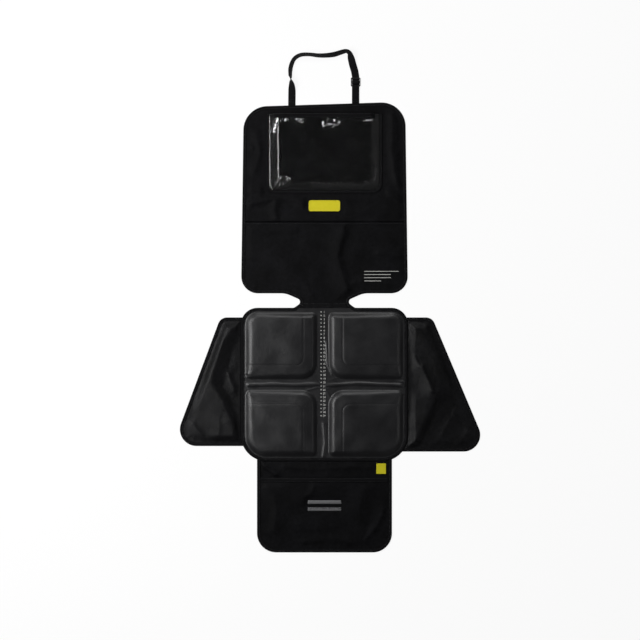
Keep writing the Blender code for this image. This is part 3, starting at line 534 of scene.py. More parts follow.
# Spun-bonded polypropylene lining, point welded: dead matt, with a grid of small pressed dots
def spunbondLining():
    material, shader = startMaterial("spunbondLining", {"Specular IOR Level": 0.2, "IOR": 1.49})
    place = addNode(material, "ShaderNodeTexCoord").outputs["Object"]
    dots = addNode(material, "ShaderNodeTexVoronoi", {
        "Vector": place, "Scale": spotScale(3.0), "Randomness": 0.0}, feature="F1")
    pressed = addNode(material, "ShaderNodeMapRange", {
        "Value": dots.outputs["Distance"], "From Min": 0.18, "From Max": 0.30})
    fibre = addNode(material, "ShaderNodeTexNoise", {
        "Vector": place, "Scale": spotScale(1.2), "Detail": 6.0, "Roughness": 0.7})
    tone = addNode(material, "ShaderNodeMath", {0: fibre.outputs["Fac"], 1: pressed.outputs[0]},
                   operation="MULTIPLY")
    colour = addNode(material, "ShaderNodeMix", {
        "Factor": tone.outputs[0], "A": hexToLinear("#101011"), "B": hexToLinear("#222224")}, data_type="RGBA")
    dull = addNode(material, "ShaderNodeMapRange", {
        "Value": pressed.outputs[0], "To Min": 0.55, "To Max": 0.92})
    bump = addNode(material, "ShaderNodeBump", {
        "Height": tone.outputs[0], "Strength": 0.5, "Distance": 0.0004})
    feed(material, shader, {
        "Base Color": colour.outputs["Result"], "Roughness": dull.outputs[0], "Normal": bump.outputs[0]})
    return material


# Soft PVC film, calendered clear: glassy, with a faint orange peel that breaks its reflections
def clearVinyl():
    material, shader = startMaterial("calenderedClearVinyl", {
        "Base Color": hexToLinear("#f4f6f7"), "Transmission Weight": 1.0, "IOR": 1.54,
        "Coat Weight": 0.8, "Coat Roughness": 0.04, "Coat IOR": 1.55,
    })
    place = addNode(material, "ShaderNodeTexCoord").outputs["Object"]
    peel = addNode(material, "ShaderNodeTexNoise", {"Vector": place, "Scale": spotScale(22), "Detail": 3.0})
    haze = addNode(material, "ShaderNodeTexNoise", {"Vector": place, "Scale": spotScale(60), "Detail": 5.0})
    scuff = addNode(material, "ShaderNodeMapRange", {
        "Value": haze.outputs["Fac"], "From Min": 0.4, "From Max": 0.7, "To Min": 0.03, "To Max": 0.13})
    bump = addNode(material, "ShaderNodeBump", {
        "Height": peel.outputs["Fac"], "Strength": 0.25, "Distance": 0.0010})
    feed(material, shader, {"Roughness": scuff.outputs[0], "Normal": bump.outputs[0]})
    return material


# Any plain moulding: acetal, silicone or PVC, with the fine spark-eroded texture of its mould
def mouldedPlastic(name, dark, light, roughness, specular, grainMm, depth):
    material, shader = startMaterial(name, {"Specular IOR Level": specular, "IOR": 1.48})
    place = addNode(material, "ShaderNodeTexCoord").outputs["Object"]
    grain = addNode(material, "ShaderNodeTexNoise", {
        "Vector": place, "Scale": spotScale(grainMm), "Detail": 3.0})
    rub = addNode(material, "ShaderNodeTexNoise", {"Vector": place, "Scale": spotScale(12), "Detail": 5.0})
    colour = addNode(material, "ShaderNodeMix", {
        "Factor": rub.outputs["Fac"], "A": hexToLinear(dark), "B": hexToLinear(light)}, data_type="RGBA")
    dull = addNode(material, "ShaderNodeMapRange", {
        "Value": rub.outputs["Fac"], "To Min": roughness - 0.08, "To Max": roughness + 0.08})
    bump = addNode(material, "ShaderNodeBump", {
        "Height": grain.outputs["Fac"], "Strength": 0.3, "Distance": depth})
    feed(material, shader, {
        "Base Color": colour.outputs["Result"], "Roughness": dull.outputs[0], "Normal": bump.outputs[0]})
    return material


# Glass-bead retroreflective transfer, heat pressed: silver grey with a fine honeycomb of seals
def reflectiveTransfer():
    material, shader = startMaterial("glassBeadReflectiveTransfer", {"Metallic": 0.55})
    place = addNode(material, "ShaderNodeTexCoord").outputs["Object"]
    cells = addNode(material, "ShaderNodeTexVoronoi", {
        "Vector": place, "Scale": spotScale(2.4), "Randomness": 0.15}, feature="DISTANCE_TO_EDGE")
    sealed = addNode(material, "ShaderNodeMapRange", {
        "Value": cells.outputs["Distance"], "From Min": 0.02, "From Max": 0.10})
    colour = addNode(material, "ShaderNodeMix", {
        "Factor": sealed.outputs[0], "A": hexToLinear("#48484a"), "B": hexToLinear("#868688")}, data_type="RGBA")
    dull = addNode(material, "ShaderNodeMapRange", {
        "Value": sealed.outputs[0], "To Min": 0.65, "To Max": 0.40})
    bump = addNode(material, "ShaderNodeBump", {
        "Height": sealed.outputs[0], "Strength": 0.4, "Distance": 0.0002})
    feed(material, shader, {
        "Base Color": colour.outputs["Result"], "Roughness": dull.outputs[0], "Normal": bump.outputs[0]})
    return material


# cloths: dark, light, thread in mm, roughness, specular, sheen
oxfordCloth = wovenPolyester("coatedOxfordPolyester", "#0a0a0b", "#111113", 1.1, 0.58, 0.05, 0.0)
wingCloth = wovenPolyester(  # ironed smoother, so it shines more
    "calenderedOxfordPolyester", "#0a0a0b", "#111113", 1.1, 0.42, 0.13, 0.0)
gripMesh = wovenPolyester("knittedGripMesh", "#121213", "#1b1b1c", 1.8, 0.85, 0.2, 0.05)
# tapes: dark, light, ribs and edge threads in mm, roughness, depth
bindingTape = ribbedTape(  # its ribs are 0.9 mm, drawn coarser so that they show
    "grosgrainBindingTape", "#0b0b0c", "#131315", 1.3, 4.0, 0.72, 0.00026)
webbing = ribbedTape("ribbedPolypropyleneWebbing", "#0a0a0b", "#151517", 1.8, 2.2, 0.60, 0.00045)
yellowRibbon = ribbedTape("wovenYellowSatinRibbon", "#b9b020", "#dad22e", 1.0, 1.4, 0.58, 0.00018)
# mouldings, threads and ink: dark, light, roughness, specular, grain in mm, depth
gripDots = mouldedPlastic("castSiliconeDots", "#1c1c1d", "#262627", 0.48, 0.5, 0.7, 0.0001)
acetal = mouldedPlastic("sparkErodedAcetal", "#141415", "#1f1f20", 0.34, 0.5, 0.5, 0.0001)
yellowRubber = mouldedPlastic("mouldedYellowSilicone", "#c6bc0c", "#d2c718", 0.52, 0.4, 0.8, 0.00012)
paleInk = mouldedPlastic("screenPrintedPaleInk", "#a9a9a6", "#c4c4c0", 0.6, 0.3, 0.5, 0.00004)
blackThread = mouldedPlastic("bondedPolyesterThread", "#232326", "#303034", 0.48, 0.45, 0.4, 0.0001)
yellowThread = mouldedPlastic("yellowPolyesterThread", "#c2ba2a", "#dcd440", 0.5, 0.4, 0.4, 0.0001)
leatherette = pressedLeatherette()
lining = spunbondLining()
vinyl = clearVinyl()
silverTransfer = reflectiveTransfer()
print("materials ready")


def mirrored(corners):
    return [(-x, y, radius) for x, y, radius in reversed(corners)]


# The mat's one outer outline: back panel, neck with its two notches, seat mat
mat = {
    "seatHalf": 0.2255, "seatTop": -0.017, "seatBottom": -0.431, "highRadius": 0.045, "lowRadius": 0.070,
    "neckSeam": -0.0108, "panelSeam": 0.2146,
}
seatRight = [
    (mat["seatHalf"], mat["seatBottom"], mat["lowRadius"]), (mat["seatHalf"], mat["seatTop"], mat["highRadius"]),
]
rightSide = seatRight + [
    (0.082, mat["seatTop"], 0.012), (0.057, 0.001, 0.009), (0.105, 0.022, 0.060), (0.225, 0.022, 0.045),
    (0.218, 0.539, 0.065),
]
bodyCorners = rightSide + [(-0.218, 0.525, 0.065)] + mirrored(rightSide[:-1])
bodyOutline = roundedOutline(bodyCorners)
sheetInset = layers["tape"] + layers["gap"]
clothOutline = roundedOutline(insetCorners(bodyCorners, sheetInset))
tapeInner = roundedOutline(insetCorners(bodyCorners, layers["tapeWidth"]))
sewnOutline = roundedOutline(insetCorners(bodyCorners, layers["sewnIn"]))


# distance from a line, how far along it, and whether a point is inside it where it is closed
def awayFrom(x, y, line, closed):
    away, _, along = lineField(x, y, line, closed)
    return away, along, insideOutline(x, y, list(line)) if closed else np.ones(x.shape, bool)


# cloth that comes out from under a tape lies flat at the seam and gathers a little just beyond it
def tapeGathers(x, y, inner, closed, height, reach, seed):
    flatFor, wave, smallWave = 0.004, 0.019, 0.008
    away, along, inside = awayFrom(x, y, inner, closed)
    swell = np.exp(-away / reach) * smoothStep(away / flatFor) * inside
    waves = ripple(along, along * 0, wave, seed) + 0.5 * ripple(along, away * 3, smallWave, seed + 1)
    return height * swell * waves


def settle(x, y, inner, reach, closed=True):
    away, _, inside = awayFrom(x, y, inner, closed)
    return smoothStep(away / reach) * inside


# 0 over each box, 1 from the reach on
def calmOver(x, y, boxes, reach):
    share = np.ones(x.shape)
    for left, right, bottom, top in boxes:
        beside = np.maximum(np.maximum(left - x, x - right), 0)
        beyond = np.maximum(np.maximum(bottom - y, y - top), 0)
        share = np.minimum(share, smoothStep(np.hypot(beside, beyond) / reach))
    return share


# Back panel: lining, organiser cloth above the seam, kick panel cloth below it
backPanel = {
    "spacing": 0.0036, "liningSpacing": 0.006, "fade": 0.018,
    "unevenness": (0.0003, 0.060), "fineUnevenness": (0.00005, 0.017),  # height, lump size
    "gathers": (0.0004, 0.012),  # height, reach
    "seamRoll": (0.0011, 0.003, 0.0028), "seamDip": (0.0006, 0.0012),  # height, place, width; depth, width
    "upperSeamFade": 0.010, "lowerSeamFade": 0.012, "neckFade": (0.008, 0.020),  # start, length
    "stitchesBelow": 0.0045, "stitchHalf": 0.213, "stitchLift": 0.00015,
    "seamGuides": (-0.006, -0.003, -0.0012, 0.0012, 0.003, 0.006), "guideHalf": 0.224,
    "organiserFolds": [  # line, rise, width on its left, width on its right
        (((-0.223, 0.298), (-0.180, 0.300), (-0.132, 0.297)), 0.0032, 0.016, 0.007),
        (((-0.226, 0.259), (-0.169, 0.270), (-0.120, 0.283), (-0.099, 0.283), (-0.077, 0.275), (-0.056, 0.260)),
         0.0056, 0.016, 0.008),
        (((-0.131, 0.272), (-0.135, 0.246), (-0.128, 0.214)), 0.0044, 0.010, 0.014),
        (((0.153, 0.300), (0.177, 0.289), (0.212, 0.272)), 0.0048, 0.012, 0.007),
        (((0.184, 0.512), (0.181, 0.409), (0.192, 0.328), (0.215, 0.300)), 0.0056, 0.015, 0.010),
        (((-0.186, 0.455), (-0.172, 0.405), (-0.188, 0.352)), 0.0030, 0.012, 0.012),
        (((-0.224, 0.420), (-0.196, 0.415)), 0.0026, 0.009, 0.009),
        (((-0.010, 0.238), (0.110, 0.243), (0.214, 0.230)), 0.0028, 0.014, 0.009),
        (((-0.112, 0.224), (0.000, 0.222), (0.070, 0.224)), 0.0020, 0.008, 0.006),
    ],
    "kickFolds": [
        (((0.053, 0.188), (0.040, 0.148), (0.036, 0.120), (0.047, 0.082), (0.062, 0.036)), 0.0058, 0.009, 0.024),
        (((0.148, 0.133), (0.178, 0.124), (0.214, 0.122)), 0.0034, 0.012, 0.008),
        (((-0.205, 0.150), (-0.120, 0.120), (-0.070, 0.060)), 0.0022, 0.040, 0.030),
        (((-0.214, 0.196), (-0.150, 0.188), (-0.080, 0.196)), 0.0018, 0.014, 0.010),
        (((-0.030, 0.012), (-0.052, 0.046), (-0.096, 0.066)), 0.0024, 0.014, 0.010),
        (((0.036, 0.008), (0.060, 0.040), (0.100, 0.058)), 0.0022, 0.010, 0.014),
    ],
    "calm": [(-0.160, 0.160, 0.288, 0.520), (-0.045, 0.045, 0.240, 0.276)],  # under the pocket and the patch
    "calmReach": 0.016,
}


def panelCloth(x, y, folds, calm, seed):
    (height, size), (fineHeight, fineSize) = backPanel["unevenness"], backPanel["fineUnevenness"]
    raised = folded(x, y, folds)
    raised += height * (1 + ripple(x, y, size, seed)) + fineHeight * ripple(x, y, fineSize, seed + 1)
    raised *= settle(x, y, tapeInner, backPanel["fade"]) * calm
    raised += tapeGathers(x, y, tapeInner, True, *backPanel["gathers"], seed + 2) * calm
    return np.maximum(raised, 0.0)


# the two cloths are turned in and meet at a seam, each with a small roll beside it
def seamRoll(y, seam):
    (rise, place, width), (depth, dipWidth) = backPanel["seamRoll"], backPanel["seamDip"]
    away = np.abs(y - seam)
    return rise * np.exp(-((away - place) / width) ** 2) - depth * np.exp(-(away / dipWidth) ** 2)


def organiserHeight(x, y):
    calm = calmOver(x, y, backPanel["calm"], backPanel["calmReach"])
    beside = smoothStep((y - mat["panelSeam"]) / backPanel["upperSeamFade"])
    cloth = panelCloth(x, y, backPanel["organiserFolds"], calm, 11) * beside
    return layers["top"] + cloth + seamRoll(y, mat["panelSeam"])


def kickHeight(x, y):
    start, length = backPanel["neckFade"]
    beside = smoothStep((mat["panelSeam"] - y) / backPanel["lowerSeamFade"])
    beside *= smoothStep((y - mat["neckSeam"] - start) / length)
    cloth = panelCloth(x, y, backPanel["kickFolds"], 1.0, 21) * beside
    return layers["top"] + cloth + seamRoll(y, mat["panelSeam"])


def makeBackPanel():
    seam, halfSeam, spacing = mat["panelSeam"], layers["halfSeam"], backPanel["spacing"]
    behind = keepSide(clothOutline, mat["neckSeam"] + halfSeam, True)
    upper = keepSide(clothOutline, seam + halfSeam, True)
    lower = keepSide(keepSide(clothOutline, seam - halfSeam, False), mat["neckSeam"] + halfSeam, True)
    wide, thick = backPanel["guideHalf"], layers["cloth"]
    guides = [[(-wide, seam + step), (wide, seam + step)] for step in backPanel["seamGuides"]]
    organiser = clothPiece("organiserCloth", upper, spacing, organiserHeight, thick, oxfordCloth, guides)
    kick = clothPiece("kickPanelCloth", lower, spacing, kickHeight, thick, oxfordCloth, guides)
    back = clothPiece("backLining", behind, backPanel["liningSpacing"],
                      lambda x, y: layers["lining"] + thick + 0 * x, thick, lining)
    dress(organiser, "face_cloth", "organiser_panel")
    dress(kick, "face_cloth", "kick_panel")
    dress(back, "lining", "back_panel")
    xs = np.linspace(-backPanel["stitchHalf"], backPanel["stitchHalf"], 240)
    row = rowOn(kickHeight, xs, seam - backPanel["stitchesBelow"], backPanel["stitchLift"])
    dress(stitchRow("panelSeamStitches", [row], blackThread), "face_cloth")
    return organiser


organiserCloth = makeBackPanel()
print("back panel made")


# Seat pad: four cushions pressed into one foam sheet, a stepped line round each raised field, a rib across
seatPad = {
    "spacing": 0.0027, "bottomSpacing": 0.03, "edgeIn": 0.0098, "edgeSettle": 0.0032, "rise": 0.0096,
    "channelX": -0.004, "channelHalf": 0.013, "crossY": seatMiddleY, "crossHalf": 0.0125,
    "innerRadius": 0.044, "smallRadius": 0.017,
    "innerSlope": 0.0175, "innerBend": 0.70,  # towards the channels: length of the slope, share that is rounded
    "outerSlope": 0.022, "outerBend": 0.65, "sideBlend": 0.06,
    "crown": (0.0022, 0.004, 0.035),  # height, start, reach
    "shown": (0.006, 0.012),  # the pressed field starts this far in and takes this long to show
    "fieldInset": 0.040, "fieldRadius": 0.020, "fieldRise": 0.0005, "fieldEdge": 0.0050, "fieldBeyond": 0.2,
    "line": (0.0004, -0.0004, 0.0011), "secondLine": (0.0005, -0.0062, 0.0010),  # depth, place, width
    "terraceRise": 0.0026, "lean": (0.022, 0.008), "leanStart": 0.0020,  # each cushion falls away from the crossing
    "slack": (0.00034, 0.070), "fineSlack": (0.00002, 0.018), "slackReach": 0.03,  # height, lump size
    "ribHalf": 0.0075, "ribRise": 0.0050, "ribPower": 1.1, "ribEnd": (0.2157, 0.010),  # x, fade
    "ribWander": (0.0012, 0.120), "ribSwell": (0.06, 0.060), "ribPinch": (0.35, 0.016),
    "endGathers": (0.0011, 0.0085), "endFrom": 0.2150, "endReach": (0.012, 0.030), "endFade": 0.003,
    "creaseBlend": (4e-7, 6.3e-4),  # how softly a crease meets the skin, and what that adds to its height
    "creases": [  # slack skin drawn out of the crossing and the channels' ends
        (((-0.048, -0.203), (-0.020, -0.214)), 0.0022, 0.0040, 0.0030),
        (((0.042, -0.204), (0.013, -0.213)), 0.0018, 0.0030, 0.0040),
        (((-0.050, -0.241), (-0.018, -0.232), (0.012, -0.236)), 0.0024, 0.0035, 0.0030),
        (((0.008, -0.246), (0.016, -0.262), (0.014, -0.300)), 0.0016, 0.0030, 0.0040),
        (((-0.012, -0.030), (-0.011, -0.110), (-0.014, -0.180)), 0.0007, 0.0030, 0.0030),
        (((0.005, -0.110), (0.008, -0.170), (0.020, -0.196)), 0.0020, 0.0040, 0.0026),
        (((-0.002, -0.330), (0.002, -0.380), (-0.003, -0.418)), 0.0022, 0.0030, 0.0040),
    ],
    "slopeGuides": (-0.0006, 0.0, 0.0006, 0.0020, 0.0040, 0.0065, 0.0095, 0.0125, 0.0160, 0.0195),
    "fieldGuides": (-0.0014, -0.0004, 0.0008, 0.0030),
    "ribGuides": (-0.0075, -0.006, -0.003, 0.0, 0.003, 0.006, 0.0075), "ribGuideHalf": 0.215,
    "creaseGuides": (-1.2, -0.5, 0.0, 0.5, 1.2), "creaseGuideStep": 0.0022,  # in widths; metres
}


def cushionBoxes():
    p = seatPad
    outer = mat["seatHalf"] - p["edgeIn"]
    near, far = p["crossY"] + p["crossHalf"], mat["seatTop"] - p["edgeIn"]
    low, lowest = p["crossY"] - p["crossHalf"], mat["seatBottom"] + p["edgeIn"]
    leftInner, rightInner = p["channelX"] - p["channelHalf"], p["channelX"] + p["channelHalf"]
    big, small = p["innerRadius"], p["smallRadius"]
    high, deep = mat["highRadius"] - p["edgeIn"], mat["lowRadius"] - p["edgeIn"]
    return [  # box, radii from the left bottom corner round
        ((-outer, leftInner, near, far), (small, big, small, high)),
        ((rightInner, outer, near, far), (big, small, high, small)),
        ((-outer, leftInner, lowest, low), (deep, small, big, small)),
        ((rightInner, outer, lowest, low), (small, deep, small, big)),
    ]


# the raised field runs out to the cushion's two outer sides
def fieldOf(box):
    left, right, bottom, top = box
    inset, beyond = seatPad["fieldInset"], seatPad["fieldBeyond"]
    return ((left - beyond, right - inset) if right < 0 else (left + inset, right + beyond)) + (
        (bottom + inset, top + beyond) if bottom > seatPad["crossY"] else (bottom - beyond, top - inset))


def pressedLine(step, line):
    depth, place, width = line
    return depth * np.exp(-((step - place) / width) ** 2)


def cushionHeight(x, y, n, box, radii):
    p = seatPad
    depth = boxDepth(x, y, box, radii)
    left, right, bottom, top = box
    besideOuter, besideInner = (x - left, right - x) if right < 0 else (right - x, x - left)
    endOuter, endInner = (top - y, y - bottom) if bottom > p["crossY"] else (y - bottom, top - y)
    outward = np.minimum(besideInner, endInner) - np.minimum(besideOuter, endOuter)
    outer = smoothStep(0.5 + outward / p["sideBlend"])
    slope = (1 - outer) * p["innerSlope"] + outer * p["outerSlope"]
    bend = (1 - outer) * p["innerBend"] + outer * p["outerBend"]
    share = np.clip(depth / slope, 0.0, 1.0)
    height = p["rise"] * (share - np.maximum(share - 1 + bend, 0) ** 2 / (2 * bend)) / (1 - bend / 2)
    crown, crownStart, crownReach = p["crown"]
    height += crown * (1 - np.exp(-np.maximum(depth - crownStart, 0) / crownReach))
    step = boxDepth(x, y, fieldOf(box), (p["fieldRadius"],) * 4)
    shown = smoothStep((depth - p["shown"][0]) / p["shown"][1])
    leanX, leanY = p["lean"]
    height += shown * p["terraceRise"] * np.clip(1 + step / p["fieldInset"], 0, 1)
    height -= shown * (leanX * np.abs(x - p["channelX"]) + leanY * np.abs(y - p["crossY"]) - p["leanStart"])
    height += shown * (p["fieldRise"] * smoothStep(step / p["fieldEdge"]) - pressedLine(step, p["line"]))
    if n == 2:  # this cushion shows its pressed line twice
        height -= shown * pressedLine(step, p["secondLine"])
    (slack, size), (fineSlack, fineSize) = p["slack"], p["fineSlack"]
    loose = slack * ripple(x, y, size, 31 + n) + fineSlack * ripple(x, y, fineSize, 41 + n)
    return height + smoothStep(depth / p["slackReach"]) * loose


def seatHeight(x, y):
    p = seatPad
    raised = np.zeros(x.shape)
    for n, (box, radii) in enumerate(cushionBoxes()):
        raised = np.maximum(raised, cushionHeight(x, y, n, box, radii))
    (wander, wanderSize), (swell, swellSize) = p["ribWander"], p["ribSwell"]
    (pinch, pinchWidth), (endX, endFade) = p["ribPinch"], p["ribEnd"]
    middle = p["crossY"] + wander * ripple(x, x * 0, wanderSize, 51)
    half = p["ribHalf"] * (1 + swell * ripple(x, x * 0, swellSize, 52))
    away = np.clip(np.abs(y - middle) / half, 0.0, 1.0)
    rib = p["ribRise"] * (1 - away ** 2) ** p["ribPower"]
    rib *= 1 - pinch * np.exp(-((x - p["channelX"]) / pinchWidth) ** 2)
    rib *= smoothStep((endX - np.abs(x)) / endFade)
    raised = np.maximum(raised, rib)
    soft, sink = p["creaseBlend"]
    for line, rise, leftWidth, rightWidth in p["creases"]:
        crease = fold(x, y, line, rise, leftWidth, rightWidth)
        raised = (raised + crease + np.sqrt((raised - crease) ** 2 + soft) - sink) / 2  # the larger one, blended
    (gathers, gatherSize), (endReach, crossReach) = p["endGathers"], p["endReach"]
    ends = np.exp(-np.maximum(p["endFrom"] - np.abs(x), 0) / endReach)
    ends *= np.exp(-((y - p["crossY"]) / crossReach) ** 2) * smoothStep((endX - np.abs(x)) / p["endFade"])
    raised += gathers * ends * ripple(x * 0.2, y, gatherSize, 61)  # stretched five times along x
    return layers["top"] + np.maximum(raised, 0) * settle(x, y, tapeInner, p["edgeSettle"])


def seatGuides():
    p = seatPad
    guides = []
    for box, radii in cushionBoxes():
        left, right, bottom, top = box
        corners = list(zip((left, right, right, left), (bottom, bottom, top, top), radii))
        for inset in p["slopeGuides"]:
            ring = roundedOutline(insetCorners(corners, inset))
            guides.append(ring + ring[:1])
        for inset in p["fieldGuides"]:
            ring = roundedOutline(insetCorners(boxCorners(*fieldOf(box), p["fieldRadius"]), inset))
            guides.append(ring + ring[:1])
    for step in p["ribGuides"]:
        guides.append([(side * p["ribGuideHalf"], p["crossY"] + step) for side in (-1, 1)])
    for line, _, leftWidth, rightWidth in p["creases"]:
        offsets = [share * (leftWidth if share > 0 else rightWidth) for share in p["creaseGuides"]]
        guides += guidesBeside(line, p["creaseGuideStep"], offsets)
    return guides


def makeSeatPad():
    outline = keepSide(clothOutline, mat["neckSeam"] - layers["halfSeam"], False)
    flatPoints, faces = filledOutline(outline, seatPad["spacing"], seatGuides())
    x, y = flatPoints.T
    upper = np.column_stack((x, y, seatHeight(x, y)))
    bottomPoints, bottomFaces = filledOutline(outline, seatPad["bottomSpacing"])
    lower = np.column_stack((bottomPoints, np.full(len(bottomPoints), layers["lining"])))
    count = len(upper)
    faces = list(faces) + [tuple(i + count for i in reversed(face)) for face in bottomFaces]
    pad = meshPiece("seatPadSkin", np.vstack((upper, lower)), faces, leatherette)
    dress(pad, "moulded_skin", "seat_pad")
    return pad


seatPadSkin = makeSeatPad()
print("seat pad made,", len(seatPadSkin.data.polygons), "faces")


# Edge tapes: one ribbed tape folded over the edge and sewn through, a little fuller towards its fold
tapes = {
    "spacing": 0.0025, "flatSpacing": 0.0022, "stitchIn": 0.0066, "stitchSink": 0.00018,
    "edgeDrop": 0.0004, "seamDip": 0.00018, "seamIn": 0.0020, "softness": 0.0006, "hemStitchLift": 0.0001,
    "wander": (0.00030, 0.045), "fineWander": (0.00012, 0.011), "lift": 0.00010, "fineLift": 0.00008,
    "wandersFrom": (0.003, 0.006), "liftsFrom": (0.0022, 0.001),  # start and length of each fade
}


# from the inner edge on the underside, out round the fold and back on top
def foldedSection(top):
    t, w = layers["tape"], layers["tapeWidth"]
    return [
        (w, 0.0003), (w - 0.0006, 0.0), (0.0066, 0.00012), (0.0035, 0.0), (0.0012, 0.0002), (0.0003, 0.0008),
        (0.0, top * 0.35), (0.0, top * 0.68), (0.0004, top - 0.0007), (0.0015, top), (0.0034, top + 0.00025),
        (0.0056, top + 0.00005), (0.0066, top - 0.00018), (0.0076, top), (w - 0.0005, top - 0.00005),
        (w, top - 0.0004), (w - 0.0002, top - t), (0.0012, top - t), (t, top - t - 0.0004), (t, t + 0.0004),
        (0.0012, t), (w - 0.0002, t),
    ]


# its inner edge wanders a little and its face ripples, as a hand-fed tape does
def handFed(seed):
    def wobble(run, across, up):
        (wander, size), (fineWander, fineSize) = tapes["wander"], tapes["fineWander"]
        wave = ripple(run, run * 0, size, seed)
        fine = ripple(run, run * 0, fineSize, seed + 1)
        (inStart, inLength), (upStart, upLength) = tapes["wandersFrom"], tapes["liftsFrom"]
        inner = smoothStep((across - inStart) / inLength)
        across = across + inner * (wander * wave + fineWander * fine)
        high = smoothStep((up - upStart) / upLength)
        return across, up + high * (tapes["lift"] * wave + tapes["fineLift"] * fine)
    return wobble


def stitchLine(path, closed, inset, height):
    line = path + leftOf(path, closed) * inset
    line = np.column_stack((line, np.full(len(line), height)))
    return np.vstack((line, line[:1])) if closed else line


def foldedTape(name, stitches, node, outline, closed, top, seed):
    path = evenlyAlong(outline, tapes["spacing"], closed)
    dress(sweptPiece(name, path, closed, foldedSection(top), bindingTape, handFed(seed)), "edge_tape", node)
    line = stitchLine(path, closed, tapes["stitchIn"], top - tapes["stitchSink"])
    dress(stitchRow(stitches, [line], blackThread), "edge_tape")


# what a flat tape's rounded edges and sunk stitch lines take off its height
def flatTapeRelief(away):
    t = tapes
    rounding = t["edgeDrop"] * np.exp(-away / t["softness"])
    return -rounding - t["seamDip"] * np.exp(-((away - t["seamIn"]) / t["softness"]) ** 2)


# a flat tape over the mouth of a pocket, sewn along both edges
def sewnHem(name, stitches, node, half, top, width, clothHeight):
    def height(x, y):
        away = np.minimum(top - y, y - top + width)
        return clothHeight(x, y) + layers["gap"] + layers["tape"] + flatTapeRelief(away)

    strip = roundedOutline(boxCorners(-half, half, top - width, top))
    hem = clothPiece(name, strip, tapes["flatSpacing"], height, layers["tape"], bindingTape)
    flatUv(hem)
    dress(hem, "edge_tape", node)
    seamIn = tapes["seamIn"]
    xs = np.linspace(-half + seamIn, half - seamIn, 160)
    rows = [rowOn(height, xs, y, tapes["hemStitchLift"]) for y in (top - seamIn, top - width + seamIn)]
    dress(stitchRow(stitches, rows, blackThread), "edge_tape")


# Side wings: not the same size, and each with its own creases
wings = {
    "left": {"side": -1, "topReach": 0.055, "bottomReach": 0.1845, "bottom": -0.390,
             "creases": [  # line, rise, width towards the seat, width away from it
                 (((-0.230, -0.052), (-0.252, -0.074), (-0.275, -0.108), (-0.296, -0.178), (-0.3045, -0.218)),
                  0.0112, 0.032, 0.090),
                 (((-0.3045, -0.218), (-0.275, -0.266), (-0.255, -0.313), (-0.236, -0.360), (-0.228, -0.384)),
                  0.0112, 0.019, 0.090),
             ],
             "folds": [
                 (((-0.257, -0.196), (-0.252, -0.216), (-0.241, -0.237)), 0.0040, 0.006, 0.012),
                 (((-0.353, -0.330), (-0.340, -0.350), (-0.324, -0.370)), 0.0026, 0.009, 0.020),
                 (((-0.282, -0.334), (-0.288, -0.384)), 0.0013, 0.007, 0.018),
             ]},
    "right": {"side": 1, "topReach": 0.065, "bottomReach": 0.2175, "bottom": -0.405,
              "creases": [
                  (((0.240, -0.060), (0.262, -0.082), (0.297, -0.138), (0.313, -0.198), (0.3115, -0.228)),
                   0.0105, 0.073, 0.050),
                  (((0.3115, -0.228), (0.285, -0.286), (0.251, -0.360), (0.234, -0.396)), 0.0105, 0.068, 0.021),
              ],
              "folds": [
                  (((0.262, -0.176), (0.277, -0.206), (0.291, -0.240)), 0.0075, 0.007, 0.016),
                  (((0.352, -0.396), (0.378, -0.362), (0.408, -0.330)), 0.0034, 0.012, 0.034),
                  (((0.296, -0.392), (0.322, -0.352), (0.338, -0.318)), 0.0026, 0.012, 0.030),
              ]},
    "topY": -0.043, "topRadius": 0.025, "bottomRadius": 0.045, "spacing": 0.0034, "foldSharpness": 1.25,
    "unevenness": (0.0003, 0.050), "fineUnevenness": (0.00004, 0.016),  # height, lump size
    "gathers": (0.0003, 0.010), "fade": 0.022,
    "cornerIn": 0.04, "neckSide": 0.15,  # the corners hidden under the seat; the seat's sides lie beyond this x
    "sewnAllowance": 0.006,
}


# the seat mat's outline between two heights, from which a wing comes out
def sewnRoot(side, low, high):
    return [(x, y) for x, y in sewnOutline if x * side > wings["neckSide"] and low < y < high and y < 0.0]


def rootPoint(side, y):
    outline = np.array([(x, y) for x, y in sewnOutline if x > wings["neckSide"] and y < mat["seatTop"]])
    order = np.argsort(outline[:, 1])
    return side * float(np.interp(y, outline[order, 1], outline[order, 0]))


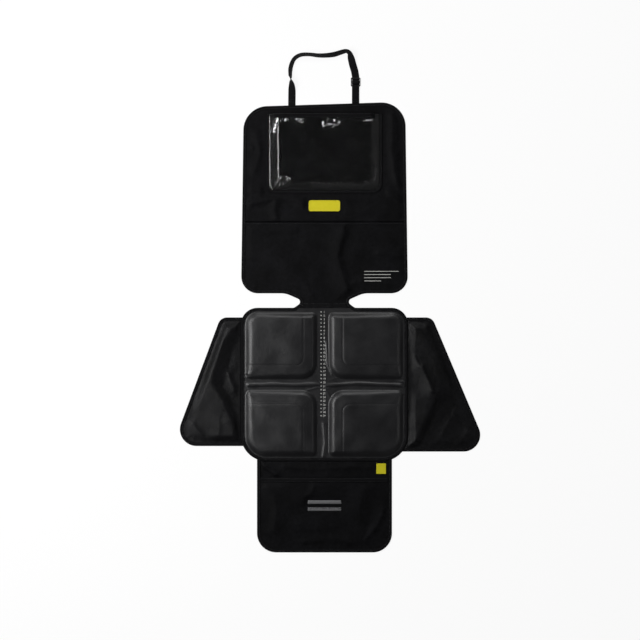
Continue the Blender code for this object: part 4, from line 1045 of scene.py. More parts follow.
def makeWing(name):
    wing = wings[name]
    side, edge, top, bottom = wing["side"], mat["seatHalf"], wings["topY"], wing["bottom"]
    hidden = edge - wings["cornerIn"]
    corners = [(hidden, bottom, 0.0), (edge + wing["bottomReach"], bottom, wings["bottomRadius"]),
               (edge + wing["topReach"], top, wings["topRadius"]), (hidden, top, 0.0)]
    if side < 0:
        corners = mirrored(corners)

    def trimmed(inset):
        line = roundedLine(insetCorners(corners, inset))[1:-1]
        first, last = (bottom + inset, top - inset) if side > 0 else (top - inset, bottom + inset)
        return [(rootPoint(side, first), first)] + line + [(rootPoint(side, last), last)]

    root = sewnRoot(side, bottom + sheetInset, top - sheetInset)
    sheetLine = trimmed(sheetInset)
    cut = sheetLine + sorted(root, key=lambda point: -side * point[1])
    sewnLine = cut[len(sheetLine) - 1:] + [cut[0]]
    ring = trimmed(layers["tapeWidth"]) + sewnLine[1:-1]

    def height(x, y):
        (uneven, size), (fine, fineSize) = wings["unevenness"], wings["fineUnevenness"]
        raised = np.zeros(x.shape)
        for line, rise, seatward, outward in wing["creases"]:
            widths = (outward, seatward) if side > 0 else (seatward, outward)
            raised = np.maximum(raised, facets(x, y, line, rise, *widths))
        for line, rise, leftWidth, rightWidth in wing["folds"]:
            raised = raised + fold(x, y, line, rise, leftWidth, rightWidth, wings["foldSharpness"])
        raised += uneven * (1 + ripple(x, y, size, 71 + side)) + fine * ripple(x, y, fineSize, 75)
        raised *= settle(x, y, ring, wings["fade"])
        raised += tapeGathers(x, y, ring, True, *wings["gathers"], 81 + side)
        return layers["lining"] + layers["cloth"] + np.maximum(raised, 0)

    cloth = clothPiece(name + "WingCloth", cut, wings["spacing"], height, layers["cloth"], wingCloth)
    dress(cloth, "wing_cloth", name + "_wing")
    foldedTape(name + "WingTape", name + "WingStitches", name + "_wing_binding", trimmed(0.0), False,
               layers["wingTape"], 90 + side)


makeWing("left")
makeWing("right")
print("wings made")


# The tape round the whole mat, and the short one over the seam at the neck
neckTape = {
    "half": 0.007, "inset": 0.0088, "spacing": 0.0016, "ripple": (0.0002, 0.020),
    "stitchOff": 0.005, "stitchHalf": 0.058, "stitchLift": -0.0001,
}


def makeBodyTape():
    n = neckTape
    foldedTape("bodyEdgeTape", "bodyTapeStitches", "edge_binding", bodyOutline, True, layers["bodyTape"], 95)
    across = roundedOutline(insetCorners(bodyCorners, n["inset"]))
    across = keepSide(keepSide(across, mat["neckSeam"] - n["half"], True), mat["neckSeam"] + n["half"], False)

    def height(x, y):
        rise, size = n["ripple"]
        relief = flatTapeRelief(n["half"] - np.abs(y - mat["neckSeam"]))
        return layers["bodyTape"] + relief + rise * ripple(x, x * 0, size, 97)

    neck = clothPiece("neckSeamTape", across, n["spacing"], height, layers["tape"], bindingTape)
    flatUv(neck)
    dress(neck, "edge_tape", "neck_seam_tape")
    xs = np.linspace(-n["stitchHalf"], n["stitchHalf"], 60)
    rows = [rowOn(lambda x, y: layers["bodyTape"] + 0 * x, xs, mat["neckSeam"] + s, n["stitchLift"])
            for s in (-n["stitchOff"], n["stitchOff"])]
    dress(stitchRow("neckTapeStitches", rows, blackThread), "edge_tape")


makeBodyTape()
print("edge tape made")


# Leg flap and the pocket laid over it
legFlap = {
    "half": 0.182, "bottom": -0.677, "radius": 0.052, "mouth": -0.474, "bulge": 0.0072, "release": 0.110,
    "hem": 0.012, "spacing": 0.0036, "seamPoints": 60, "hiddenTop": -0.401, "aboveMouth": (0.004, 0.008),
    "unevenness": (0.0002, 0.040), "gathers": (0.0004, 0.010), "fade": 0.012, "calmReach": 0.009,
    "pocketUnevenness": (0.0003, 0.060), "pocketFine": (0.00004, 0.016), "pocketGathers": (0.0004, 0.012),
    "pocketFade": 0.020, "mouthFade": (0.010, 0.020), "barCalm": 0.014, "openEnd": 0.1, "seamBelow": -0.40,
    "folds": [
        (((-0.174, -0.436), (-0.158, -0.446), (-0.132, -0.466)), 0.0070, 0.010, 0.006),
        (((0.006, -0.436), (0.008, -0.474)), 0.0016, 0.0030, 0.0030),
        (((-0.110, -0.446), (-0.020, -0.452), (0.070, -0.446), (0.150, -0.450)), 0.0020, 0.009, 0.007),
    ],
    "pocketFolds": [
        (((-0.160, -0.496), (-0.138, -0.520), (-0.130, -0.560), (-0.136, -0.616)), 0.0044, 0.020, 0.014),
        (((0.110, -0.500), (0.092, -0.560), (0.104, -0.632)), 0.0034, 0.016, 0.026),
        (((0.110, -0.642), (0.140, -0.606), (0.160, -0.566)), 0.0042, 0.014, 0.010),
        (((-0.026, -0.480), (-0.034, -0.512), (-0.052, -0.530)), 0.0030, 0.012, 0.008),
        (((-0.060, -0.648), (0.020, -0.640), (0.090, -0.650)), 0.0022, 0.014, 0.012),
        (((-0.090, -0.600), (-0.030, -0.612), (0.050, -0.604)), 0.0012, 0.020, 0.016),
    ],
    "underBars": (-0.047, 0.047, -0.566, -0.534), "underTag": (0.138, 0.168, -0.467, -0.425),
    "barHalf": (0.045, 0.00475), "barRadius": 0.0012, "barThick": 0.0004, "barSpacing": 0.0025,
    "bars": {"upper": -0.5405, "lower": -0.5595},
}


def pocketBulge(x, y):
    low = legFlap["bottom"] + layers["tapeWidth"]
    across = (legFlap["half"] - np.abs(x) - layers["tapeWidth"]) / legFlap["release"]
    along = (y - low) / (legFlap["mouth"] - low)
    return legFlap["bulge"] * smoothStep(across) * smoothStep(along)


def flapPocketHeight(x, y):
    f = legFlap
    (uneven, size), (fine, fineSize) = f["pocketUnevenness"], f["pocketFine"]
    start, length = f["mouthFade"]
    raised = folded(x, y, f["pocketFolds"])
    raised += uneven * (1 + ripple(x, y, size, 101)) + fine * ripple(x, y, fineSize, 102)
    inner = roundedLine(insetCorners(flapCorners(f["mouth"] + f["openEnd"]), layers["tapeWidth"]))
    away = lineField(x, y, inner)[0]
    within = (np.abs(x) < f["half"] - layers["tapeWidth"]) & (y > f["bottom"] + layers["tapeWidth"])
    fade = smoothStep(away / f["pocketFade"]) * within
    calm = smoothStep((f["mouth"] - y - start) / length) * calmOver(x, y, [f["underBars"]], f["barCalm"])
    gathers = tapeGathers(x, y, inner, False, *f["pocketGathers"], 103) * within
    return layers["top"] + pocketBulge(x, y) + np.maximum((raised * fade + gathers) * calm, 0)


def flapCorners(top):
    half, low, radius = legFlap["half"], legFlap["bottom"], legFlap["radius"]
    return [(-half, top, 0.0), (-half, low, radius), (half, low, radius), (half, top, 0.0)]


def makeLegFlap():
    f = legFlap
    seatLine = np.array(sorted((x, y) for x, y in sewnOutline if y < f["seamBelow"]))

    def seamY(x):
        return float(np.interp(x, seatLine[:, 0], seatLine[:, 1]))

    def trimmed(inset):
        half = f["half"] - inset
        line = roundedLine(insetCorners(flapCorners(f["hiddenTop"]), inset))[1:-1]
        return [(-half, seamY(-half))] + line + [(half, seamY(half))]

    seamHalf = f["half"] - sheetInset
    seam = [(x, seamY(x)) for x in np.linspace(seamHalf, -seamHalf, f["seamPoints"])][1:-1]
    cut = trimmed(sheetInset) + seam
    ring = trimmed(layers["tapeWidth"]) + seam

    def height(x, y):
        (uneven, size), (early, length) = f["unevenness"], f["aboveMouth"]
        raised = folded(x, y, f["folds"])
        raised += uneven * (1 + ripple(x, y, size, 111))
        calm = smoothStep((y - f["mouth"] + early) / length) * calmOver(x, y, [f["underTag"]], f["calmReach"])
        raised *= settle(x, y, ring, f["fade"]) * calm
        raised += tapeGathers(x, y, ring, True, *f["gathers"], 112) * calm
        return layers["lining"] + layers["cloth"] + np.maximum(raised, 0)

    flap = clothPiece("legFlapCloth", cut, f["spacing"], height, layers["cloth"], oxfordCloth)
    dress(flap, "face_cloth", "leg_flap")
    pocketCut = roundedOutline(insetCorners(flapCorners(f["mouth"]), sheetInset))
    pocket = clothPiece("flapPocketCloth", pocketCut, f["spacing"], flapPocketHeight, layers["cloth"], oxfordCloth)
    dress(pocket, "face_cloth", "flap_pocket")
    foldedTape("legFlapTape", "legFlapStitches", "leg_flap_binding", trimmed(0.0), False, layers["bodyTape"], 120)
    sewnHem("flapPocketHem", "flapHemStitches", "flap_pocket_hem", f["half"] - layers["tapeWidth"] - layers["gap"],
            f["mouth"] - sheetInset, f["hem"], flapPocketHeight)
    (halfX, halfY), thick = f["barHalf"], f["barThick"]

    def barHeight(x, y):
        return flapPocketHeight(x, y) + layers["gap"] + thick

    for name, y in f["bars"].items():
        outline = roundedOutline(boxCorners(-halfX, halfX, y - halfY, y + halfY, f["barRadius"]))
        bar = clothPiece(name + "ReflectiveBar", outline, f["barSpacing"], barHeight, thick, silverTransfer)
        dress(bar, "reflective_tape", name + "_reflective_bar")


makeLegFlap()
print("leg flap made")


# Tablet pocket: clear film formed into a shallow box, taped round three sides, hemmed at its open top
tabletPocket = {
    "half": 0.156, "bottom": 0.292, "top": 0.506, "depth": 0.0150, "flange": 0.008, "slope": 0.024, "bend": 0.04,
    "radius": 0.026, "film": 0.0006, "hem": 0.013, "hemHalf": 0.136, "spacing": 0.0021,
    "sag": (0.0012, 0.020, 0.090), "bow": (0.00035, 0.070),  # depth, start, reach; height, lump size
    "frontFade": 0.02, "flangeFade": 0.004, "rim": (0.014, 0.022),
    "crumple": (0.00035, 0.016), "beads": (0.0006, 0.0085),  # height, lump size
    "beadedFrom": 0.001,  # creases that rise more than this are beaded
    "creases": [  # line, rise, half width: where the film is kinked or pulled
        (((-0.128, 0.500), (-0.133, 0.486), (-0.137, 0.470), (-0.138, 0.458)), 0.0028, 0.0062),
        (((-0.124, 0.498), (-0.101, 0.497), (-0.080, 0.494), (-0.066, 0.489), (-0.058, 0.482)), 0.0020, 0.0044),
        (((-0.118, 0.486), (-0.108, 0.490), (-0.098, 0.486), (-0.106, 0.480)), 0.0020, 0.0044),
        (((0.034, 0.494), (0.028, 0.488), (0.040, 0.480), (0.034, 0.468), (0.015, 0.473), (-0.003, 0.470),
          (0.002, 0.486), (0.012, 0.494)), 0.0026, 0.0058),
        (((0.036, 0.496), (0.058, 0.499), (0.082, 0.500), (0.100, 0.497), (0.122, 0.494), (0.126, 0.484),
          (0.110, 0.484)), 0.0024, 0.0054),
        (((0.135, 0.380), (0.136, 0.350), (0.134, 0.333), (0.126, 0.321)), 0.0020, 0.0046),
        (((0.120, 0.318), (0.096, 0.316), (0.055, 0.318), (0.015, 0.315), (-0.031, 0.318)), 0.0018, 0.0040),
        (((-0.130, 0.316), (-0.122, 0.329), (-0.104, 0.333), (-0.095, 0.325), (-0.103, 0.315), (-0.118, 0.312)),
         0.0026, 0.0058),
        (((-0.045, 0.470), (-0.028, 0.458)), 0.0007, 0.007),
        (((0.036, 0.374), (0.056, 0.366)), 0.0006, 0.007),
    ],
    "wallGuides": (0.0075, 0.0080, 0.0088, 0.0125, 0.0175, 0.0225, 0.0275, 0.0312, 0.0320, 0.0325),
    "creaseGuides": (-1.3, -0.6, 0.0, 0.6, 1.3), "creaseGuideStep": 0.0016,  # in half widths; metres
    "openEnd": 0.5,  # the box shape runs on past the open top
    "tapeStitchIn": 0.0036, "tapeStitchLift": -0.0001,
}


def filmHeight(x, y):
    p = tabletPocket
    box = (-p["half"], p["half"], p["bottom"], p["top"] + p["openEnd"])
    depth = boxDepth(x, y, box, (p["radius"], p["radius"], 0, 0))
    share, bend = np.clip((depth - p["flange"]) / p["slope"], 0, 1), p["bend"]
    foot, shoulder = share ** 2 / (2 * bend), 1 - bend - (1 - share) ** 2 / (2 * bend)
    wall = np.where(share < bend, foot, np.where(share > 1 - bend, shoulder, share - bend / 2))  # straight in between
    height = p["depth"] * wall / (1 - bend)
    front = smoothStep((depth - p["flange"] - p["slope"]) / p["frontFade"])
    (sag, sagStart, sagReach), (bow, bowSize) = p["sag"], p["bow"]
    slack = (bow * ripple(x, y, bowSize, 131) - sag * smoothStep((depth - sagStart) / sagReach)) * front
    kinks, beads = np.zeros(x.shape), np.zeros(x.shape)
    for line, rise, width in p["creases"]:
        kinks = np.maximum(kinks, facets(x, y, line, rise, width, width))
        if rise > p["beadedFrom"]:
            beads = np.maximum(beads, np.exp(-(lineField(x, y, line)[0] / width) ** 2))
    (beadRise, beadSize), (crumpleRise, crumpleSize), (rimStart, rimReach) = p["beads"], p["crumple"], p["rim"]
    kinks += beadRise * beads * ripple(x, y, beadSize, 134)
    rim = np.exp(-np.maximum(depth - rimStart, 0) / rimReach) * (depth > p["flange"])
    crumple = np.clip(1 - np.abs(ripple(x, y, crumpleSize, 132)), 0, 1) ** 4 * crumpleRise * rim
    flat = layers["top"] + layers["gap"] + p["film"]
    return flat + height + (slack + kinks + crumple) * smoothStep((depth - p["flange"]) / p["flangeFade"])


def makeTabletPocket():
    p = tabletPocket
    corners = [(-p["half"], p["top"], 0.0), (-p["half"], p["bottom"], p["radius"]),
               (p["half"], p["bottom"], p["radius"]), (p["half"], p["top"], 0.0)]
    guides = []
    for i in p["wallGuides"]:
        guides.append(roundedLine([(x + (i if x < 0 else -i), y + (i if r else 0), max(r - i, 0.001) if r else 0.0)
                                   for x, y, r in corners]))
    for line, _, width in p["creases"]:
        guides += guidesBeside(line, p["creaseGuideStep"], [width * share for share in p["creaseGuides"]])
    film = clothPiece("tabletPocketFilm", roundedOutline(corners), p["spacing"], filmHeight, p["film"], vinyl, guides)
    dress(film, "clear_film", "tablet_pocket_film")
    bottom = layers["top"] + layers["gap"] + p["film"] + layers["gap"]
    top = bottom + layers["tape"]
    section = [  # from the outer edge over to the inner one
        (0.0002, bottom), (0.0, bottom + 0.0003), (0.0004, top), (0.0018, top + 0.00012), (0.0036, top - 0.00015),
        (0.0056, top + 0.0001), (0.0070, top), (0.0074, bottom + 0.0003), (0.0072, bottom),
    ]
    path = evenlyAlong(roundedLine(corners), tapes["spacing"], False)
    tape = sweptPiece("pocketEdgeTape", path, False, section, bindingTape, handFed(133))
    dress(tape, "edge_tape", "pocket_edge_tape")
    line = stitchLine(path, False, p["tapeStitchIn"], top + p["tapeStitchLift"])
    dress(stitchRow("pocketTapeStitches", [line], blackThread), "edge_tape")
    sewnHem("pocketMouthHem", "mouthHemStitches", "pocket_mouth_hem", p["hemHalf"], p["top"], p["hem"], filmHeight)


makeTabletPocket()
print("tablet pocket made")


# Anti-slip backing under the seat mat: knitted mesh with cast silicone dots
gripBacking = {
    "pitch": 0.0088, "dotRadius": 0.0022, "dotDepth": 0.000495, "spacing": 0.006, "dotsIn": 0.005,
    "clothTop": 0.0008, "clothBottom": 0.0005, "dotArea": (-0.213, 0.214, -0.419, -0.028),
    "dotRings": ((1.0, 0.0), (0.86, 0.55), (0.45, 0.95)),  # share of the radius, share of the depth
}


def makeGripBacking():
    g = gripBacking
    corners = seatRight + mirrored(seatRight)
    outline = roundedOutline(insetCorners(corners, layers["tapeWidth"] + layers["gap"]))
    cloth = clothPiece("gripBackingMesh", outline, g["spacing"], lambda x, y: g["clothTop"] + 0 * x,
                       g["clothTop"] - g["clothBottom"], gripMesh)
    dress(cloth, "grip_rubber", "grip_backing")
    inner = roundedOutline(insetCorners(corners, layers["tapeWidth"] + g["dotsIn"]))
    left, right, low, high = g["dotArea"]
    rowPitch = g["pitch"] * 0.866  # each dot stands between two of the next row
    xs, ys = np.meshgrid(np.arange(left, right, g["pitch"]), np.arange(low, high, rowPitch))
    xs[1::2] += g["pitch"] / 2
    xs, ys = xs.ravel(), ys.ravel()
    keep = insideOutline(xs, ys, inner)
    points, faces = [], []
    sides = 8
    angles = np.arange(sides) * 2 * math.pi / sides
    for x, y in zip(xs[keep], ys[keep]):
        first = len(points)
        for wide, down in g["dotRings"]:
            radius = wide * g["dotRadius"]
            points += [(x + math.cos(a) * radius, y + math.sin(a) * radius, g["clothBottom"] - down * g["dotDepth"])
                       for a in angles]
        points.append((x, y, g["clothBottom"] - g["dotDepth"]))
        for k in range(sides):
            n = (k + 1) % sides
            for start in (first, first + sides):
                faces.append((start + k, start + sides + k, start + sides + n, start + n))
            faces.append((first + 2 * sides + k, first + 3 * sides, first + 2 * sides + n))
    dress(meshPiece("gripBackingDots", points, faces, gripDots), "grip_rubber")


makeGripBacking()
print("grip backing made")


# Yellow patch on the organiser, yellow ribbon folded into the seat mat's lower edge
badge = {
    "half": (0.0425, 0.015), "y": 0.258, "thick": 0.0014, "radius": 0.006, "rim": 0.0022, "rimRise": 0.00045,
    "rimFade": 0.0007, "edge": (0.0007, 0.0008), "unevenness": (0.00006, 0.012), "spacing": 0.0013,
    "guides": (0.0003, 0.0008, 0.0016, 0.0022, 0.0029),
    "stitchIn": 0.0037, "stitchLift": 0.00002, "stitches": (0.0030, 0.0021, 0.00020),  # pitch, length, radius
}
sideTag = {
    "x": 0.153, "top": -0.437, "width": 0.026, "height": 0.028, "thick": 0.0010, "spacing": 0.0013,
    "radius": 0.002, "curl": (0.0014, 0.010, 0.018), "fold": (0.0006, 0.0022),
    "stitchIn": 0.0022, "stitchEnds": (0.003, 0.001), "stitchLift": 0.00008, "stitches": (0.0028, 0.0020, 0.00020),
}


def makeBadge():
    b = badge
    (halfX, halfY), bottom = b["half"], layers["top"] + layers["gap"]
    box = (-halfX, halfX, b["y"] - halfY, b["y"] + halfY)
    corners = boxCorners(*box, b["radius"])

    def height(x, y):
        (drop, dropWidth), (uneven, size) = b["edge"], b["unevenness"]
        depth = np.maximum(boxDepth(x, y, box, (b["radius"],) * 4), 0)
        rim = b["rimRise"] * (1 - smoothStep((depth - b["rim"]) / b["rimFade"]))
        edge = drop * np.clip(1 - depth / dropWidth, 0, 1) ** 2
        return bottom + b["thick"] + rim - edge + uneven * ripple(x, y, size, 141)

    rings = [roundedOutline(insetCorners(corners, i)) for i in b["guides"]]
    patch = clothPiece("yellowPatch", roundedOutline(corners), b["spacing"], height, b["thick"], yellowRubber,
                       [ring + ring[:1] for ring in rings])
    dress(patch, "yellow_rubber", "badge_patch")
    line = roundedOutline(insetCorners(corners, b["stitchIn"]))
    line = np.array([(x, y, bottom + b["thick"] + b["stitchLift"]) for x, y in line + line[:1]])
    dress(stitchRow("yellowPatchStitches", [line], yellowThread, *b["stitches"]), "yellow_rubber")


def makeSideTag():
    t = sideTag
    half, top = t["width"] / 2, t["top"]
    bottom = layers["lining"] + layers["cloth"] + layers["gap"]
    corners = boxCorners(t["x"] - half, t["x"] + half, top - t["height"], top, t["radius"])

    def height(x, y):
        (rise, start, length), (foldRise, foldWidth) = t["curl"], t["fold"]
        lift = 0.4 + 0.6 * smoothStep((x - t["x"] + half) / t["width"])
        curl = rise * smoothStep((top - y - start) / length) * lift
        return bottom + t["thick"] + curl + foldRise * np.exp(-((y - top + t["height"]) / foldWidth) ** 2)

    tag = clothPiece("yellowSideTag", roundedOutline(corners), t["spacing"], height, t["thick"], yellowRibbon)
    flatUv(tag)
    dress(tag, "yellow_ribbon", "side_tag")
    rows, (low, high) = [], t["stitchEnds"]
    for x in (t["x"] - half + t["stitchIn"], t["x"] + half - t["stitchIn"]):
        ys = np.linspace(top - t["height"] + low, top - high, 30)
        rows.append(np.column_stack((ys * 0 + x, ys, height(ys * 0 + x, ys) + t["stitchLift"])))
    dress(stitchRow("sideTagStitches", rows, yellowThread, *t["stitches"]), "yellow_ribbon")


makeBadge()
makeSideTag()
print("patch and tag made")


# Prints: the plain scale down the channel and four thin bars on the kick panel
prints = {
    "dotX": -0.0092, "dotRadius": 0.0017, "numberX": -0.0008, "numberHeight": 0.0052, "first": -0.0281,
    "step": 0.0100, "count": 29, "thick": 0.00018, "longestEdge": 0.0011, "bolder": 0.00008,
    "bars": [(0.107, 0.201, 0.0813), (0.107, 0.182, 0.0727), (0.107, 0.180, 0.0641), (0.107, 0.155, 0.0555)],
    "barHalf": 0.0008, "barStep": 0.003,
}


def printedPiece(name, flatPieces, heightAt):
    points, faces = [], []
    for flatPoints, flatFaces in flatPieces:
        first = len(points)
        x, y = np.array(flatPoints, float).T
        points += list(zip(x, y, heightAt(x, y) + prints["thick"]))
        faces += [tuple(i + first for i in face) for face in flatFaces]
    return meshPiece(name, points, faces, paleInk)


def numeralShape(text, middle, height):
    letters = bpy.data.curves.new("numeral", "FONT")
    letters.body = text
    letters.size = height / 0.70  # a numeral is 0.70 of the font's size
    letters.align_x = "CENTER"
    letters.resolution_u = 3
    letters.offset = prints["bolder"]
    holder = bpy.data.objects.new("numeral", letters)
    mesh = bpy.data.meshes.new_from_object(holder)
    shape = bmesh.new()
    shape.from_mesh(mesh)
    for _ in range(3):  # short edges let a numeral bend over the rib
        longEdges = [edge for edge in shape.edges if edge.calc_length() > prints["longestEdge"]]
        bmesh.ops.subdivide_edges(shape, edges=longEdges, cuts=1)
        bmesh.ops.triangulate(shape, faces=shape.faces[:])
    shape.verts.index_update()
    points = [(v.co.x + middle[0], v.co.y + middle[1] - height / 2) for v in shape.verts]
    faces = [tuple(v.index for v in face.verts) for face in shape.faces]
    shape.free()
    bpy.data.objects.remove(holder)
    bpy.data.curves.remove(letters)
    bpy.data.meshes.remove(mesh)
    return points, faces


def makePrints():
    p = prints
    shapes = []
    for k in range(p["count"]):
        y = p["first"] - k * p["step"]
        dot = [(p["dotX"] + p["dotRadius"] * math.cos(a), y + p["dotRadius"] * math.sin(a))
               for a in np.arange(12) * math.pi / 6]
        shapes.append((dot, [tuple(range(12))]))
        shapes.append(numeralShape(str(k + 1), (p["numberX"], y), p["numberHeight"]))
    dress(printedPiece("printedScale", shapes, seatHeight), "moulded_skin")
    bars = []
    for left, right, y in p["bars"]:
        xs = np.arange(left, right, p["barStep"])
        low, high = [(x, y - p["barHalf"]) for x in xs], [(x, y + p["barHalf"]) for x in xs]
        n = len(xs)
        bars.append((low + high, [(i, i + 1, n + i + 1, n + i) for i in range(n - 1)]))
    dress(printedPiece("printedBars", bars, kickHeight), "face_cloth")


makePrints()
print("prints made")


# Headrest strap: leaves the top edge flat, stands on its edge over the top, comes back flat to the slider
strap = {
    "width": 0.020, "thick": 0.0014, "floorGap": 0.0001, "sliderX": 0.084, "sliderY": 0.592, "bar": 0.003,
    "slot": 0.0075, "sliderThick": 0.002, "mouldedEdge": 0.0005,
    "sewnEnd": 0.5345, "closing": 0.017, "closed": 0.006, "turnSteps": 12, "routeSteps": 7,
    "stitchRows": (0.5385, 0.5445), "stitchHalf": 0.0078, "stitchLift": 0.0001,
    "route": [  # x, y, roll in degrees, lift
        (-0.0880, 0.5275, 0, 0.0016), (-0.0880, 0.5390, 0, 0.0016), (-0.0878, 0.5550, 0, 0.0002),
        (-0.0878, 0.5710, 10, 0.0), (-0.0882, 0.5840, 40, 0.0), (-0.0905, 0.5950, 72, 0.0),
        (-0.0922, 0.6060, 114, 0.0), (-0.0918, 0.6250, 122, 0.0), (-0.0878, 0.6410, 119, 0.0),
        (-0.0797, 0.6550, 112, 0.0), (-0.0635, 0.6640, 108, 0.0), (-0.0400, 0.6650, 106, 0.0),
        (-0.0176, 0.6625, 110, 0.0), (0.0040, 0.6626, 114, 0.0), (0.0265, 0.6655, 121, 0.0),
        (0.0480, 0.6720, 116, 0.0), (0.0600, 0.6740, 108, 0.0), (0.0680, 0.6680, 120, 0.0),
        (0.0715, 0.6570, 152, 0.0), (0.0760, 0.6400, 172, 0.0), (0.0815, 0.6220, 180, 0.0),
    ],
}


# a smooth curve through the places, with roll and lift shared out evenly between them
def throughPoints(route, steps):
    padded = [route[0], *route, route[-1]]
    stations = []
    for p0, p1, p2, p3 in zip(padded, padded[1:], padded[2:], padded[3:]):
        a, b, c, d = (np.array(p, float) for p in (p0, p1, p2, p3))
        for k in range(steps):
            t = k / steps
            place = b + t * ((c - a) / 2 + t * (a - 2.5 * b + 2 * c - d / 2 + t * (1.5 * (b - c) + (d - a) / 2)))
            even = b + (c - b) * t
            stations.append((place[0], place[1], even[2], even[3]))
    return stations + [tuple(route[-1])]


def directionAt(middles, i):
    return (middles[min(i + 1, len(middles) - 1)] - middles[max(i - 1, 0)]).normalized()


def strapSections(stations):
    middles = []
    for x, y, roll, lift in stations:
        turn = math.radians(roll)
        rest = abs(math.sin(turn)) * strap["width"] / 2 + abs(math.cos(turn)) * strap["thick"] / 2
        middles.append(Vector((x, y, rest + lift + strap["floorGap"])))
    sections = []
    for i, middle in enumerate(middles):
        along = directionAt(middles, i)
        across = Vector((along.y, -along.x, 0.0)).normalized()
        across.rotate(Matrix.Rotation(math.radians(-stations[i][2]), 3, along))
        sections.append((middle, across, along.cross(across)))
    return sections


def makeStrap():
    s = strap
    gap, halfBar, thick, pitch = layers["gap"], s["bar"] * 0.83, s["thick"], s["bar"] + s["slot"]
    wrap = math.hypot(s["bar"], s["sliderThick"]) / 2 + gap
    lower = s["sliderY"] - pitch
    sliderBottom = thick + wrap - s["sliderThick"] / 2
    over = sliderBottom + s["sliderThick"] + gap
    weave = [  # under the slider's upper bar, over its middle bar, and down through its lower slot
        (s["sliderX"], s["sliderY"] + 0.012 + s["bar"], 180, 0.0),
        (s["sliderX"], s["sliderY"] + pitch - s["bar"] * 0.667, 180, 0.0),
        (s["sliderX"], s["sliderY"] + halfBar, 180, over),
        (s["sliderX"], s["sliderY"] - halfBar, 180, over),
        (s["sliderX"], lower + wrap + 1.15 * thick, 180, sliderBottom),
    ]
    stations = throughPoints(s["route"], s["routeSteps"]) + weave
    band = ribbonPiece("headrestStrap", strapSections(stations), s["width"], thick, webbing)
    dress(band, "webbing", "headrest_strap")
    half = thick / 2
    radius, closed = wrap + half, half + thick + gap
    side = [(s["sewnEnd"], half), (lower - wrap, half)]  # the loop from the side: y, z
    for k in range(s["turnSteps"] + 1):
        angle = math.pi * (k / s["turnSteps"] - 0.5)
        side.append((lower + radius * math.cos(angle), half + radius * (1 + math.sin(angle))))
    for share in (0.25, 0.5, 0.75, 1.0):
        side.append((lower - s["closing"] * share, closed + (2 * radius - thick - gap) * (1 - smoothStep(share))))
    side += [(lower - s["closing"] - s["closed"], closed), (s["sewnEnd"], closed)]
    middles = [Vector((s["sliderX"], y, z + s["floorGap"])) for y, z in side]
    across = Vector((1.0, 0.0, 0.0))
    sections = [(middle, across, directionAt(middles, i).cross(across)) for i, middle in enumerate(middles)]
    dress(ribbonPiece("sliderLoop", sections, s["width"], thick, webbing), "webbing", "slider_loop")
    rows = []
    for y in s["stitchRows"]:
        for x, height in ((s["sliderX"], closed + half), (s["route"][0][0], s["route"][0][3] + thick)):
            xs = np.linspace(x - s["stitchHalf"], x + s["stitchHalf"], 12)
            rows.append(np.column_stack((xs, xs * 0 + y, xs * 0 + height + s["stitchLift"])))
    dress(stitchRow("strapStitches", rows, blackThread), "webbing")


# the slider is the CAD's own solid, with its mould's rounded edges
def finishSlider():
    slider = bpy.data.objects["slider_buckle"]
    slider.data.materials.clear()
    slider.data.materials.append(acetal)
    for face in slider.data.polygons:
        face.material_index = 0
    softEdge = slider.modifiers.new("mouldedEdges", "BEVEL")
    softEdge.width = strap["mouldedEdge"]
    softEdge.segments = 2
    softEdge.limit_method = "ANGLE"


makeStrap()
finishSlider()
print("strap made")


# Stage, camera and lamps
studio = {
    "paper": "#ffffff", "paperHalf": 30, "cameraHeight": 3.5, "lens": 72.9167, "sensor": 36,
    "lookAt": (-0.0271, -0.0455),
    "softboxes": [  # name, place, size, watts: a long key at the left, and one far off over the headrest end
        ("keySoftbox", (-1.35, 0.20, 1.5), (1.5, 0.8), 36),
        ("farSoftbox", (0.02, 2.6, 2.0), (1.5, 0.7), 28),
    ],
    "glints": {  # a ring of strips over the tablet pocket, which show only as strokes in its film
        "angles": (40, -35, -125), "middle": (0.0, 0.65), "away": 2.0, "height": 2.2,
        "size": (1.2, 0.16), "watts": 3.4,
    },
    "zenith": 0.03, "horizon": 0.10,
    "paperGlow": 0.90,  # share of the paper's white that the camera sees whatever the lamps do
}


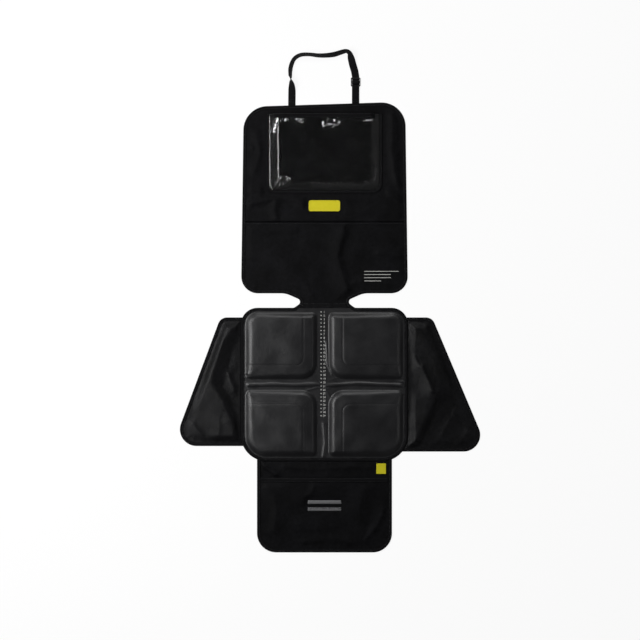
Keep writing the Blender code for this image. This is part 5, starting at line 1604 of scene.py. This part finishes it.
def layPaper():
    half = studio["paperHalf"]
    mesh = bpy.data.meshes.new("paperFloor")
    mesh.from_pydata([(-half, -half, 0), (half, -half, 0), (half, half, 0), (-half, half, 0)], [], [(0, 1, 2, 3)])
    floor = bpy.data.objects.new("paperFloor", mesh)
    bpy.context.scene.collection.objects.link(floor)
    paper, shader = startMaterial("mattPaperSweep", {
        "Base Color": hexToLinear(studio["paper"]), "Roughness": 0.9, "Specular IOR Level": 0.1})
    ray = addNode(paper, "ShaderNodeLightPath").outputs
    seen = addNode(paper, "ShaderNodeMath", {0: ray["Is Camera Ray"], 1: ray["Is Glossy Ray"]}, operation="MAXIMUM")
    seen = addNode(paper, "ShaderNodeMath", {0: seen.outputs[0], 1: ray["Is Transmission Ray"]}, operation="MAXIMUM")
    share = addNode(paper, "ShaderNodeMath", {0: seen.outputs[0], 1: studio["paperGlow"]}, operation="MULTIPLY")
    white = addNode(paper, "ShaderNodeEmission", {"Color": hexToLinear(studio["paper"]), "Strength": 1.0})
    both = addNode(paper, "ShaderNodeMixShader", {0: share.outputs[0], 1: shader.outputs[0], 2: white.outputs[0]})
    feed(paper, paper.node_tree.nodes["Material Output"], {"Surface": both.outputs[0]})
    mesh.materials.append(paper)


def fillAir():
    world = bpy.data.worlds.new("studioAir")
    bpy.context.scene.world = world
    world.use_nodes = True
    air = world.node_tree.nodes["Background"]
    place = addNode(world, "ShaderNodeTexCoord").outputs["Generated"]
    up = addNode(world, "ShaderNodeSeparateXYZ", {0: place}).outputs["Z"]
    level = addNode(world, "ShaderNodeMapRange", {
        "Value": up, "From Min": 0.0, "From Max": 0.9, "To Min": studio["horizon"], "To Max": studio["zenith"],
    }, interpolation_type="SMOOTHSTEP")
    feed(world, air, {"Strength": level.outputs[0]})
    air.inputs["Color"].default_value = (1, 1, 1, 1)


def hangLamps():
    glints, lamps = studio["glints"], list(studio["softboxes"])
    (middleX, middleY), away = glints["middle"], glints["away"]
    for n, angle in enumerate(glints["angles"]):
        turn = math.radians(angle)
        place = (middleX + away * math.cos(turn), middleY + away * math.sin(turn), glints["height"])
        lamps.append(("glintStrip%d" % (n + 1), place, glints["size"], glints["watts"]))
    for name, place, size, watts in lamps:
        lamp = bpy.data.lights.new(name, "AREA")
        lamp.shape = "RECTANGLE"
        lamp.size, lamp.size_y = size
        lamp.energy = watts
        stand = bpy.data.objects.new(name, lamp)
        stand.location = place
        stand.rotation_euler = (-Vector(place)).to_track_quat("-Z", "Y").to_euler()
        bpy.context.scene.collection.objects.link(stand)


def setCamera():
    camera = bpy.data.cameras.new("photoCamera")
    camera.lens = studio["lens"]
    camera.sensor_width = studio["sensor"]
    eye = bpy.data.objects.new("photoCamera", camera)
    eye.location = (*studio["lookAt"], studio["cameraHeight"])
    bpy.context.scene.collection.objects.link(eye)
    bpy.context.scene.camera = eye
    bpy.context.scene.view_settings.view_transform = "Standard"


layPaper()
fillAir()
hangLamps()
setCamera()
print("studio ready")
